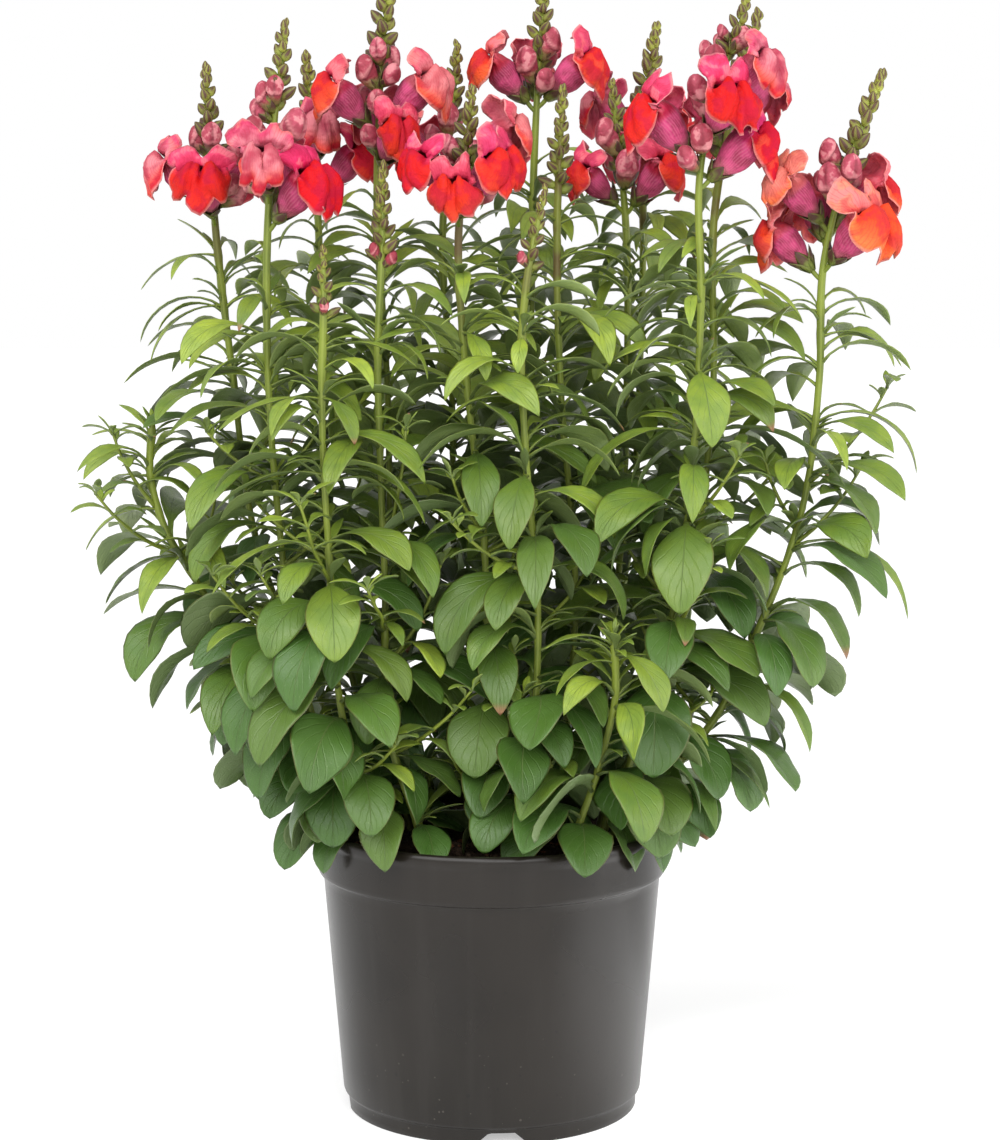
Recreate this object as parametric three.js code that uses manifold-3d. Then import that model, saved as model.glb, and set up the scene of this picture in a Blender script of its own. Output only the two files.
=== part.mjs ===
// A snapdragon plant in a plastic nursery pot: pot, soil, upright leafy stems, and two-lipped blooms.
// Millimetres and degrees, +Z up. The origin is on the standing surface, under the middle of the
// plant's overall box. A turn is an angle about +Z: 0 points to +X, 90 to the back (+Y).
import * as THREE from "three";
import { mergeVertices } from "three/addons/utils/BufferGeometryUtils.js";
import Module from "manifold-3d";

const wasm = await Module();
wasm.setup();

// ---- Driving dimensions ----
const CLEAR = 0.3; // gap kept between pieces that meet

const POT_HEIGHT = 158;
const RIM_RADIUS = 96; // outside of the rolled lip
const BAND_RADIUS = 95; // upright band under the lip
const BAND_BOTTOM = 131;
const SHOULDER_RADIUS = 92.3; // tapered wall, just under the band
const HEEL_RADIUS = 82; // tapered wall, just above the foot
const FOOT_RADIUS = 79.5;
const FOOT_HEIGHT = 9;
const POT_WALL = 2;
const POT_SIDES = 24;
const FLOOR_BOTTOM = 6.6; // the floor hangs inside the foot ring
const NOTCH = { count: 4, turn: -86, topWidth: 14, bottomWidth: 28, height: 6.2 }; // in the foot ring
const DRAIN = { radius: 5, circle: 60, sides: 6 }; // a hole in the floor beside each notch

const SOIL_TOP = 146;
const SOIL_BUMP = 2.2; // height of its waves
const SOIL_SIDES = 16;
const ROOT_DEPTH = 22; // how far a stem stands in its hole in the soil

const STEM_SIDES = 4; // a leaf pair stands on two opposite sides
const STEM_RADIUS = { foot: 3.1, neck: 2.3, tip: 1.5 };

const BLADE = 0.8; // thickness of a leaf blade
const KEEL = 1.3; // depth of a narrow leaf at its rib
const FOLD = 0.22; // how far a blade's edges lift, as a share of half its width
const BEND = 0.9; // under 1, a leaf bends soonest near its foot
const STALK_WIDTH = 2;
const STALK_END = 0.1; // where the blade begins, as a share of a leaf's length
const FOLDED = 29; // leaves at least this wide are folded along their rib
const FLAT = 17; // leaves at least this wide, and under FOLDED, have a flat blade; the rest are keeled
const MIDRIB_STEPS = 24;
const FOLDED_ROWS = [0, 7, 13, 20];
const OTHER_ROWS = [0, 8, 17];
const PAIR_SPACING = 48; // between one leaf pair and the next up a stem
const PAIR_START = 0.45; // height of the lowest pair, as a share of the spacing
const ROOT_INSET = 0.4; // where a leaf starts, as a share of the stem's radius
const SHOWY_ROOM = { height: 16, turn: 52 }; // a pair leaf nearer than this to a showy one is left out

// A spike of buds; each pair of values is at its foot and at its top.
const SPIKE = {
  above: 6, // from the highest bloom to the spike's foot
  shortest: 20, // a stem with less than this left over has no spike
  rows: 7,
  sides: 6,
  budReach: [6.2, 2.8],
  budRise: [4.5, 2.5],
  core: [2.6, 1.2],
};
const CLOSED_BLOOM = { long: 22, wide: 13, rise: 55, widestAt: 0.62, sides: 5 };
const CALYX = { reach: 12, radius: 3.6, sides: 5 };
const BLOOM_RISE = 46; // how steeply a bloom's tube leaves its calyx
const PETAL = 0.8; // thickness of a petal
const TRIMS = [0.2, 0.12, 0.06, 0.02]; // where parts join, unevenness up to this is smoothed away

// Leaf size and droop by height up the leafy part of a stem, from 0 at the soil to 1 at the neck.
const LEAF_LONG = [[0, 52], [0.35, 70], [0.7, 66], [1, 45]];
const LEAF_WIDE = [[0, 31], [0.35, 30], [0.6, 22.5], [0.8, 14], [1, 8]];
const LEAF_RISE = [[0, 25], [0.5, 40], [1, 50]];
const LEAF_FALL = [[0, -88], [0.5, -88], [1, -78]];

// Each stem: its foot [x, y] in the soil, points up its centre line to the tip [x, y, z], the height of
// the neck where leaves give way to flowers, the turn of its first leaf pair, and what it carries.
// leaves: showy ones set by hand, [height, turn, length, width, rise, fall].
// blooms: [height, turn, pitch, scale]. closed: blooms not yet open, [height, turn, scale].
const STEMS = [
  { // far left, in flower
    foot: [-60, 12],
    up: [[-84, 14, 200], [-126, 14, 300], [-141, 12, 407], [-148, 8, 476], [-152, 5, 562]],
    neck: 470,
    turn: 20,
    seed: 11,
    leaves: [[465, 185, 48, 8, 12, -60], [438, 190, 54, 8.5, 5, -80], [395, 165, 58, 24, 20, -70]],
    blooms: [[490, 184, 0, 0.92], [480, -98, 4, 1], [487, 70, 0, 0.95]],
    closed: [[514, 165, 0.8], [516, -80, 0.8]],
  },
  { // left front, in flower
    foot: [-58, -28],
    up: [[-88, -34, 200], [-104, -38, 260], [-112, -38, 324], [-117, -38, 404], [-117, -35, 474],
      [-113, -34, 530], [-107, -32, 583]],
    neck: 468,
    turn: 75,
    seed: 23,
    leaves: [[237, -128, 50, 25, -10, -62], [186, -112, 46, 27, 5, -88], [404, 176, 60, 15, 20, -45]],
    blooms: [[492, -92, 0, 0.95], [477, -28, 4, 1.08], [486, 82, 0, 1]],
    closed: [[512, 205, 1], [517, -20, 1.05], [536, 190, 0.75], [540, -90, 0.7]],
  },
  { // left back, in flower
    foot: [-46, 34],
    up: [[-70, 46, 200], [-90, 62, 290], [-96, 68, 383], [-97, 70, 481], [-103, 70, 573]],
    neck: 478,
    turn: 40,
    seed: 37,
    leaves: [],
    blooms: [[494, -12, 6, 0.98], [511, -78, 8, 0.88], [497, 118, 0, 0.95]],
    closed: [[528, 20, 0.85], [524, 190, 0.8]],
  },
  { // left of the middle, tall, in flower
    foot: [-28, 14],
    up: [[-46, 22, 210], [-55, 30, 290], [-57, 28, 387], [-62, 22, 500], [-60, 20, 553], [-55, 20, 612]],
    neck: 494,
    turn: 10,
    seed: 41,
    leaves: [],
    blooms: [[527, 188, 6, 1], [530, -14, 2, 1.06], [508, -62, 0, 0.95], [514, 96, 0, 1]],
    closed: [[549, 205, 0.9], [564, -100, 0.7], [556, 12, 0.8]],
  },
  { // front, left of the middle, in bud
    foot: [-36, -42],
    up: [[-53, -48, 210], [-56, -50, 301], [-58, -50, 359], [-59, -48, 418], [-57, -45, 462],
      [-56, -44, 511]],
    neck: 446,
    turn: 55,
    seed: 53,
    leaves: [[250, -38, 44, 20, 10, -52], [246, -98, 52, 24, 5, -88], [203, -34, 46, 24, 5, -55]],
    blooms: [],
    closed: [[461, 200, 0.45], [458, -10, 0.45]],
  },
  { // back, left of the middle, in flower
    foot: [-12, 48],
    up: [[-18, 66, 210], [-22, 82, 290], [-23, 85, 391], [-28, 82, 470], [-24, 80, 528], [-19, 78, 579]],
    neck: 480,
    turn: 0,
    seed: 67,
    leaves: [],
    blooms: [[504, 192, 4, 0.95], [490, 60, 0, 0.95], [500, 128, 2, 0.95]],
    closed: [[538, 188, 0.7], [526, -92, 0.9]],
  },
  { // front middle, in flower
    foot: [-4, -24],
    up: [[-2, -36, 210], [-4, -42, 317], [-14, -40, 412], [-17, -36, 479], [-14, -35, 510], [-10, -34, 550]],
    neck: 472,
    turn: 85,
    seed: 71,
    leaves: [[231, -97, 58, 34, 5, -89], [363, -84, 62, 20, 10, -89], [425, -68, 42, 12, 10, -88],
      [182, -68, 40, 26, 10, -75], [318, 214, 58, 20, 20, -70]],
    blooms: [[506, 12, 4, 0.95], [488, -16, 0, 1.02], [480, -58, -4, 0.85], [492, 205, 0, 0.85]],
    closed: [[500, -92, 0.65], [512, 165, 0.7]],
  },
  { // foremost, on the left, in bud
    foot: [-56, -46],
    up: [[-76, -60, 215], [-84, -70, 314], [-87, -70, 393], [-86, -68, 434], [-86, -66, 468]],
    neck: 430,
    turn: 5,
    seed: 83,
    leaves: [[194, -75, 52, 27, 20, -88], [297, -86, 60, 28, 8, -89], [354, -14, 66, 14, 25, -75],
      [354, 190, 62, 13, 15, -52], [393, 194, 58, 13, 10, -42], [393, -48, 38, 12, 5, -86],
      [418, -6, 52, 10, 25, -46], [316, 184, 70, 12, 20, -62], [313, -12, 62, 14, 20, -66]],
    blooms: [],
    closed: [[434, -80, 0.4]],
  },
  { // back middle, tallest, in flower
    foot: [14, 42],
    up: [[20, 56, 220], [22, 66, 320], [22, 72, 420], [23, 72, 500], [25, 72, 550], [29, 70, 612]],
    neck: 520,
    turn: 60,
    seed: 97,
    leaves: [],
    blooms: [[543, 184, 4, 1], [545, -10, 0, 1.02], [546, 92, 0, 0.98]],
    closed: [[555, 225, 0.95], [568, -20, 0.85]],
  },
  { // middle, green spike only
    foot: [30, 6],
    up: [[42, 2, 220], [45, 0, 300], [38, 0, 381], [35, 0, 482], [38, 0, 552]],
    neck: 498,
    turn: 30,
    seed: 101,
    leaves: [[482, 8, 40, 8, 30, -40], [455, 10, 46, 10, 35, -70]],
    blooms: [],
    closed: [],
  },
  { // front, right of the middle, in bud
    foot: [12, -54],
    up: [[23, -58, 230], [24, -60, 290], [18, -60, 361], [16, -58, 428], [20, -55, 464], [28, -52, 499]],
    neck: 448,
    turn: 15,
    seed: 113,
    leaves: [[352, -100, 60, 21, 10, -89], [423, -92, 30, 9, 10, -88], [390, -10, 60, 13, 30, -60],
      [392, 186, 44, 10, 20, -55], [300, 232, 52, 20, 15, -75], [236, -30, 62, 20, 15, -86]],
    blooms: [],
    closed: [[458, 200, 0.4]],
  },
  { // right of the middle, in flower
    foot: [44, 34],
    up: [[60, 42, 210], [72, 52, 300], [75, 55, 384], [74, 52, 481], [66, 50, 557]],
    neck: 476,
    turn: 70,
    seed: 127,
    leaves: [],
    blooms: [[487, 196, 0, 0.85], [486, -26, 6, 0.95], [496, 84, 0, 0.95]],
    closed: [[514, 200, 1], [497, -84, 1], [520, 10, 0.8]],
  },
  { // right back, in flower
    foot: [34, 62],
    up: [[56, 78, 210], [78, 92, 290], [84, 98, 382], [86, 98, 475], [86, 96, 546], [93, 94, 590]],
    neck: 506,
    turn: 25,
    seed: 131,
    leaves: [],
    blooms: [[520, 60, 0, 0.95], [524, 150, 2, 0.95]],
    closed: [[536, 0, 0.8]],
  },
  { // right front, the fullest flower head, leaning out
    foot: [58, -32],
    up: [[80, -40, 215], [98, -43, 290], [106, -45, 364], [109, -45, 443], [109, -42, 515],
      [119, -40, 556], [132, -38, 595]],
    neck: 470,
    turn: 80,
    seed: 149,
    leaves: [[326, -95, 70, 32, 5, -89], [405, -88, 60, 23, 5, -89], [370, -20, 92, 20, 30, -62],
      [372, 188, 78, 18, 25, -80], [242, -104, 72, 38, 5, -88], [268, -30, 58, 34, 10, -52],
      [452, -4, 60, 11, 20, -60], [452, 192, 56, 11, 10, -50]],
    blooms: [[510, 190, 6, 1.12], [541, -20, 0, 0.92], [521, -48, 2, 1.02], [499, -2, 0, 1.12]],
    closed: [[549, -104, 0.95], [560, 180, 0.7], [566, -10, 0.7]],
  },
  { // right, behind the fullest head
    foot: [58, 2],
    up: [[86, -2, 215], [107, -6, 290], [118, -12, 389], [119, -10, 494], [130, -8, 552], [141, -8, 590]],
    neck: 498,
    turn: 45,
    seed: 151,
    leaves: [],
    blooms: [[512, 92, 0, 1], [530, 40, 0, 0.95]],
    closed: [[546, 80, 0.8]],
  },
  { // far right, leaning out from its foot, in flower
    foot: [64, -12],
    up: [[90, -18, 180], [116, -22, 212], [141, -28, 264], [164, -30, 329], [173, -28, 400],
      [175, -25, 462], [188, -24, 515], [205, -22, 558]],
    neck: 446,
    turn: 90,
    seed: 163,
    leaves: [[272, -52, 58, 29, 15, -89], [345, -26, 52, 23, 20, -86], [312, -8, 84, 14, 25, -86],
      [378, -4, 72, 12, 35, -88], [423, 0, 50, 8, 25, -66], [436, 184, 40, 7, 20, -62],
      [194, -118, 36, 16, 0, -89], [188, -62, 50, 11, 10, -80], [198, -20, 58, 11, 15, -76],
      [236, -26, 64, 16, 20, -89]],
    blooms: [[477, 196, 4, 0.98], [452, 178, 0, 1], [474, 14, 4, 1.02], [456, -44, 0, 1.14], [468, 96, 0, 1]],
    closed: [[488, -118, 1], [503, 182, 0.9], [498, -62, 0.85], [493, -12, 0.85]],
  },
  { // far left, a leafy side shoot
    foot: [-66, 0],
    up: [[-94, -4, 190], [-124, -10, 237], [-154, -12, 283], [-177, -12, 324], [-183, -12, 351],
      [-181, -12, 377]],
    neck: 372,
    turn: 0,
    seed: 173,
    leaves: [[348, 182, 32, 10, 10, -70], [330, 185, 48, 8, 10, -70], [305, 190, 50, 17, 5, -70],
      [368, 180, 32, 6, 30, -22], [250, 200, 46, 22, 0, -80], [235, 195, 44, 16, 0, -42]],
    blooms: [],
    closed: [],
  },
  { // front right, a short leafy shoot
    foot: [42, -54],
    up: [[56, -68, 200], [64, -80, 240], [63, -84, 272]],
    neck: 268,
    turn: 35,
    seed: 181,
    leaves: [[262, -46, 48, 18, 10, -82], [258, 200, 40, 9, 20, -70]],
    blooms: [],
    closed: [],
  },
];

// Changes of [turn, fall or pitch] tried in order until a leaf or a bloom stands clear of everything.
function triesOf(swings, lifts) {
  return lifts.flatMap((lift) => swings.map((swing) => [swing, lift]));
}

const LEAF_TRIES = triesOf([0, 12, -12, 24, -24, 36, -36, 48, -48], [0, 22, -14, 44]);
const BLOOM_TRIES = triesOf([0, 8, -8, 16, -16, 26, -26, 38, -38, 52, -52], [0, 10, -10]);

const LEAF_GREEN = new THREE.MeshStandardMaterial({ color: 0x4f8a35, roughness: 0.6, metalness: 0 });
const POT_GREY = new THREE.MeshStandardMaterial({ color: 0x3b3936, roughness: 0.45, metalness: 0 });
const SOIL_BROWN = new THREE.MeshStandardMaterial({ color: 0x2d211a, roughness: 1, metalness: 0 });
const BLOOM_RED = new THREE.MeshStandardMaterial({ color: 0xe23a4a, roughness: 0.55, metalness: 0 });

// ---- Small helpers ----
const radians = THREE.MathUtils.degToRad;
const UP = new THREE.Vector3(0, 0, 1);

// A repeatable stream of draws between two limits.
function seededDraw(seed) {
  let state = seed;
  return (low, high) => {
    state = (state * 1664525 + 1013904223) % 4294967296;
    return low + ((high - low) * state) / 4294967296;
  };
}

function mix([low, high], u) {
  return low + (high - low) * u;
}

// The value at x on a line through [x, value] pairs.
function onLine(pairs, x) {
  let i = 0;
  while (i < pairs.length - 2 && x > pairs[i + 1][0]) i += 1;
  const [[x0, v0], [x1, v1]] = [pairs[i], pairs[i + 1]];
  return v0 + ((v1 - v0) * (x - x0)) / (x1 - x0);
}

// A solid from a three.js geometry, with the vertices at one place merged.
function solidFrom(geometry) {
  const bare = geometry.clone();
  bare.deleteAttribute("normal");
  bare.deleteAttribute("uv");
  const merged = mergeVertices(bare, 1e-4);
  return new wasm.Manifold(new wasm.Mesh({
    numProp: 3,
    vertProperties: merged.attributes.position.array,
    triVerts: new Uint32Array(merged.index.array),
  }));
}

function meshFrom(solid, name, material) {
  const made = solid.getMesh();
  const geometry = new THREE.BufferGeometry();
  geometry.setAttribute("position", new THREE.BufferAttribute(new Float32Array(made.vertProperties), 3));
  geometry.setIndex(new THREE.BufferAttribute(new Uint32Array(made.triVerts), 1));
  geometry.computeVertexNormals();
  const mesh = new THREE.Mesh(geometry, material);
  mesh.name = name;
  return mesh;
}

// A closed surface through rings of points, each ring counter-clockwise seen from the far end.
// start and end are apex points; without one, that end is a flat cap. Sides listed in flipped
// are split along their other diagonal.
function loft(rings, { start = null, end = null, flipped = [] } = {}) {
  const sides = rings[0].length;
  const points = rings.flat();
  const triangles = [];
  for (let i = 0; i + 1 < rings.length; i += 1) {
    for (let j = 0; j < sides; j += 1) {
      const [a, b] = [i * sides + j, i * sides + ((j + 1) % sides)];
      const [c, d] = [b + sides, a + sides];
      if (flipped.includes(j)) triangles.push(a, b, d, b, c, d);
      else triangles.push(a, b, c, a, c, d);
    }
  }
  const last = (rings.length - 1) * sides;
  if (start) points.push(start);
  const startIndex = points.length - 1;
  if (end) points.push(end);
  const endIndex = points.length - 1;
  for (let j = 0; j < sides; j += 1) {
    const next = (j + 1) % sides;
    if (start) triangles.push(startIndex, next, j);
    else if (j > 0 && next > 0) triangles.push(0, next, j);
    if (end) triangles.push(endIndex, last + j, last + next);
    else if (j > 0 && next > 0) triangles.push(last, last + j, last + next);
  }
  const geometry = new THREE.BufferGeometry();
  geometry.setAttribute("position", new THREE.Float32BufferAttribute(points.flatMap((p) => p.toArray()), 3));
  geometry.setIndex(triangles);
  return geometry;
}

// A ring of points round a centre, square to a direction; turn sets where it starts.
function ringAt(centre, direction, radius, sides, turn = 0) {
  const side = new THREE.Vector3(0, 1, 0).cross(direction).normalize();
  const other = direction.clone().cross(side).normalize();
  return Array.from({ length: sides }, (_, k) => {
    const angle = radians(turn) + (2 * Math.PI * k) / sides;
    return centre.clone()
      .addScaledVector(side, radius * Math.cos(angle))
      .addScaledVector(other, radius * Math.sin(angle));
  });
}

// Parts joined into one skin. Nearly flat facets are merged, by the widest trim that leaves no two
// corners of the skin at one place.
function joined(parts) {
  const whole = wasm.Manifold.union(parts);
  const isPinched = (solid) => {
    const { vertProperties, numVert } = solid.getMesh();
    const places = new Set();
    for (let i = 0; i < numVert; i += 1) {
      places.add(Array.from(vertProperties.slice(3 * i, 3 * i + 3), (value) => value.toFixed(3)).join());
    }
    return places.size < numVert;
  };
  const merged = whole.asOriginal();
  return TRIMS.map((trim) => merged.simplify(trim)).find((solid) => !isPinched(solid)) ?? whole;
}

// The unit direction at a turn about +Z and a rise above the horizontal.
function heading(turn, rise) {
  const [t, r] = [radians(turn), radians(rise)];
  return new THREE.Vector3(Math.cos(t) * Math.cos(r), Math.sin(t) * Math.cos(r), Math.sin(r));
}

// ---- Stems ----
function stemPoints(stem) {
  const [x, y] = stem.foot;
  return [[x, y, SOIL_TOP - ROOT_DEPTH], [x, y, SOIL_TOP + 2], ...stem.up];
}

// A point on a stem's centre line, read by height.
function stemAt(stem, z) {
  const points = stemPoints(stem);
  const axis = (index) => onLine(points.map((point) => [point[2], point[index]]), z);
  return new THREE.Vector3(axis(0), axis(1), z);
}

function stemTip(stem) {
  return stem.up[stem.up.length - 1][2];
}

function stemRadius(stem, z) {
  const { foot, neck, tip } = STEM_RADIUS;
  return onLine([[SOIL_TOP, foot], [stem.neck, neck], [stemTip(stem), tip]], Math.max(z, SOIL_TOP));
}

function stemTube(stem) {
  const top = hasSpike(stem) ? spikeFoot(stem) + 4 : stemTip(stem);
  const heights = [...stemPoints(stem).map((point) => point[2]).filter((z) => z < top - 8), top];
  const centres = heights.map((z) => stemAt(stem, z));
  const rings = centres.map((centre, i) => {
    const [before, after] = [centres[Math.max(i - 1, 0)], centres[Math.min(i + 1, centres.length - 1)]];
    const direction = i < 2 ? UP : after.clone().sub(before).normalize();
    return ringAt(centre, direction, stemRadius(stem, centre.z), STEM_SIDES, stem.turn + 45);
  });
  return solidFrom(loft(rings));
}

// The plain hole in the soil that a stem stands in.
function stemHole(stem) {
  const heights = [SOIL_TOP - ROOT_DEPTH - CLEAR, SOIL_TOP + 3 * SOIL_BUMP];
  const radius = STEM_RADIUS.foot + 1.5 * CLEAR;
  const rings = heights.map((z) => {
    const centre = new THREE.Vector3(...stem.foot, z);
    return ringAt(centre, UP, radius, STEM_SIDES, stem.turn + 45);
  });
  return solidFrom(loft(rings));
}

// ---- Leaves ----
// Half-width of a blade, as a share of its greatest, from its foot (0) to its tip (1).
function leafOutline(t) {
  if (t <= STALK_END) return 0;
  return Math.sin(Math.PI * ((t - STALK_END) / (1 - STALK_END)) ** 0.82) ** 0.85;
}

// The midrib leaves the stem at rise, bends down to fall, and curls sideways.
function leafMidrib(leaf) {
  const step = leaf.long / MIDRIB_STEPS;
  const point = leaf.root.clone();
  const rows = [];
  for (let k = 0; k <= MIDRIB_STEPS; k += 1) {
    const t = k / MIDRIB_STEPS;
    const turn = leaf.turn + leaf.curl * t;
    const along = heading(turn, leaf.rise + (leaf.fall - leaf.rise) * t ** BEND);
    const level = heading(turn + 90, 0);
    const lift = along.clone().cross(level);
    const roll = radians(leaf.roll * t);
    const across = level.clone().multiplyScalar(Math.cos(roll)).addScaledVector(lift, Math.sin(roll));
    const face = along.clone().cross(across);
    const half = Math.max(STALK_WIDTH / 2, (leaf.wide / 2) * leafOutline(t));
    rows.push({ point: point.clone(), across, face, half });
    point.addScaledVector(along, step);
  }
  return rows;
}

// The blade as a thin solid; grow thickens it, to test for clearance.
function leafSolid(leaf, grow = 0) {
  const rows = leafMidrib(leaf);
  const [top, bottom] = [BLADE / 2 + grow, -BLADE / 2 - grow];
  const section = (row) => {
    const at = (side, up) => row.point.clone()
      .addScaledVector(row.across, side * (row.half + grow))
      .addScaledVector(row.face, up + Math.abs(side) * row.half * FOLD);
    if (leaf.wide < FLAT) return [at(1, top), at(-1, top), at(0, top - KEEL - 2 * grow)];
    const corners = [at(1, bottom), at(1, top), at(-1, top), at(-1, bottom)];
    if (leaf.wide >= FOLDED) corners.splice(2, 2, at(0, top), at(-1, top), at(-1, bottom), at(0, bottom));
    return corners;
  };
  const isFolded = leaf.wide >= FOLDED;
  const rings = (isFolded ? FOLDED_ROWS : OTHER_ROWS).map((k) => section(rows[k]));
  return solidFrom(loft(rings, { end: rows[MIDRIB_STEPS].point, flipped: isFolded ? [4, 5] : [3] }));
}

// Every leaf a stem carries: the showy ones, then opposite pairs, each pair a quarter turn on.
function leavesOf(stem) {
  const draw = seededDraw(stem.seed);
  const leafAt = (z, turn, long, wide, rise, fall, curl, roll) => {
    const root = stemAt(stem, z).addScaledVector(heading(turn, 0), ROOT_INSET * stemRadius(stem, z));
    return { z, root, turn, long, wide, rise, fall, curl, roll, isShowy: false };
  };
  const showy = stem.leaves.map(([z, turn, long, wide, rise, fall]) => {
    const leaf = leafAt(z, turn, long, wide, rise, fall, draw(-18, 18), draw(-14, 14));
    return { ...leaf, isShowy: true };
  });
  const pairs = [];
  const count = Math.round((stem.neck - SOIL_TOP) / PAIR_SPACING);
  for (let k = 0; k < count; k += 1) {
    for (const half of [0, 180]) {
      const h = (k + PAIR_START + draw(-0.12, 0.12)) / count;
      const z = SOIL_TOP + (stem.neck - SOIL_TOP) * h;
      const size = draw(0.78, 1.12);
      const leaf = leafAt(z, stem.turn + 90 * k + half + draw(-16, 16), onLine(LEAF_LONG, h) * size,
        onLine(LEAF_WIDE, h) * size * draw(0.75, 1.05), onLine(LEAF_RISE, h) + draw(-14, 14),
        onLine(LEAF_FALL, h) + draw(-8, 16), draw(-30, 30), draw(-42, 42));
      const isCrowded = showy.some((other) => {
        const apart = heading(other.turn, 0).angleTo(heading(leaf.turn, 0));
        return Math.abs(other.z - z) < SHOWY_ROOM.height && apart < radians(SHOWY_ROOM.turn);
      });
      if (!isCrowded) pairs.push(leaf);
    }
  }
  return [...showy, ...pairs];
}

// ---- Buds, calyxes and blooms ----
// A stem's flowering top ends in a spike of small green buds, above its highest bloom.
function spikeFoot(stem) {
  return Math.max(stem.neck, ...[...stem.blooms, ...stem.closed].map(([z]) => z)) + SPIKE.above;
}

function hasSpike(stem) {
  return stemTip(stem) - spikeFoot(stem) > SPIKE.shortest;
}

// The spike is one knobbly skin: in each row, every other corner is a bud that points out and up.
function spikeSolid(stem) {
  const foot = spikeFoot(stem);
  const rings = Array.from({ length: SPIKE.rows }, (_, row) => {
    const u = row / (SPIKE.rows - 1);
    const z = foot + (stemTip(stem) - foot) * 0.96 * u;
    return Array.from({ length: SPIKE.sides }, (_, side) => {
      const isBud = (row + side) % 2 === 0;
      const [reach, rise] = isBud ? [SPIKE.budReach, SPIKE.budRise] : [SPIKE.core, [0, 0]];
      const outward = heading(stem.turn + (360 * side) / SPIKE.sides, 0);
      return stemAt(stem, z)
        .addScaledVector(outward, mix(reach, u))
        .addScaledVector(UP, row === 0 ? 0 : mix(rise, u));
    });
  });
  const tip = stemAt(stem, stemTip(stem)).addScaledVector(UP, 3);
  return solidFrom(loft(rings, { start: stemAt(stem, foot - 5), end: tip }));
}

// A bloom that hasn't opened: a pouch that swells from the stem and closes to a point.
function closedBloom(stem, [z, turn, scale]) {
  const root = stemAt(stem, z);
  const direction = heading(turn, CLOSED_BLOOM.rise);
  const long = CLOSED_BLOOM.long * scale;
  const waist = root.clone().addScaledVector(direction, CLOSED_BLOOM.widestAt * long);
  const ring = ringAt(waist, direction, (CLOSED_BLOOM.wide / 2) * scale, CLOSED_BLOOM.sides);
  return solidFrom(loft([ring], { start: root, end: root.clone().addScaledVector(direction, long) }));
}

// One open bloom in its own frame: a tube that leaves the origin towards +X and up, a mouth closed by
// a swollen palate, two lobes turned back above it and three below. It is one skin: the tube's foot,
// the back of the mouth, the back and the front of the lobes' outline, and the palate.
function openBloom() {
  // One side of the outline from the top notch down to the chin [forward, across, up].
  const edge = [[15.5, 0, 28], [12.5, 6, 33], [11.5, 12.5, 28.5], [15, 10, 19.5], [17.5, 15, 12], [19, 13, 3],
    [22.5, 7, 0.5], [21.5, 0, -4]];
  const otherSide = edge.slice(1, -1).reverse();
  const outline = [...edge.map(([x, y, z]) => [x, -y, z]), ...otherSide]
    .map((point) => new THREE.Vector3(...point));
  const palate = new THREE.Vector3(25.5, 0, 15);
  const mouth = new THREE.Vector3(13, 0, 13);
  const throat = heading(0, BLOOM_RISE);
  const toOutline = (centre, radius) => outline.map((point) => {
    const flat = point.clone().sub(mouth).projectOnPlane(throat).normalize();
    return centre.clone().addScaledVector(flat, radius);
  });
  const front = outline.map((point) => point.clone().addScaledVector(heading(0, 0), PETAL));
  const foot = toOutline(new THREE.Vector3(), 3);
  return solidFrom(loft([foot, toOutline(mouth, 8.2), outline, front], { end: palate }));
}

const OPEN_BLOOM = openBloom();

// A bloom and the calyx it sits in, at a place on its stem.
function bloomAt(stem, [z, turn, pitch, scale]) {
  const direction = heading(turn, BLOOM_RISE + pitch);
  const root = stemAt(stem, z);
  const seat = root.clone().addScaledVector(direction, CALYX.reach);
  const calyx = solidFrom(loft([ringAt(seat, direction, CALYX.radius, CALYX.sides)], { start: root }));
  const base = seat.clone().addScaledVector(direction, CLEAR);
  const matrix = new THREE.Matrix4().makeTranslation(base.x, base.y, base.z)
    .multiply(new THREE.Matrix4().makeRotationZ(radians(turn)))
    .multiply(new THREE.Matrix4().makeRotationY(-radians(pitch)))
    .multiply(new THREE.Matrix4().makeScale(scale, scale, scale));
  return { bloom: OPEN_BLOOM.transform(matrix.elements), calyx };
}

// ---- Pot and soil ----
function potInside(z) {
  return onLine([[FOOT_HEIGHT, HEEL_RADIUS - POT_WALL], [POT_HEIGHT - 6, RIM_RADIUS - 4]], z);
}

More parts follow.
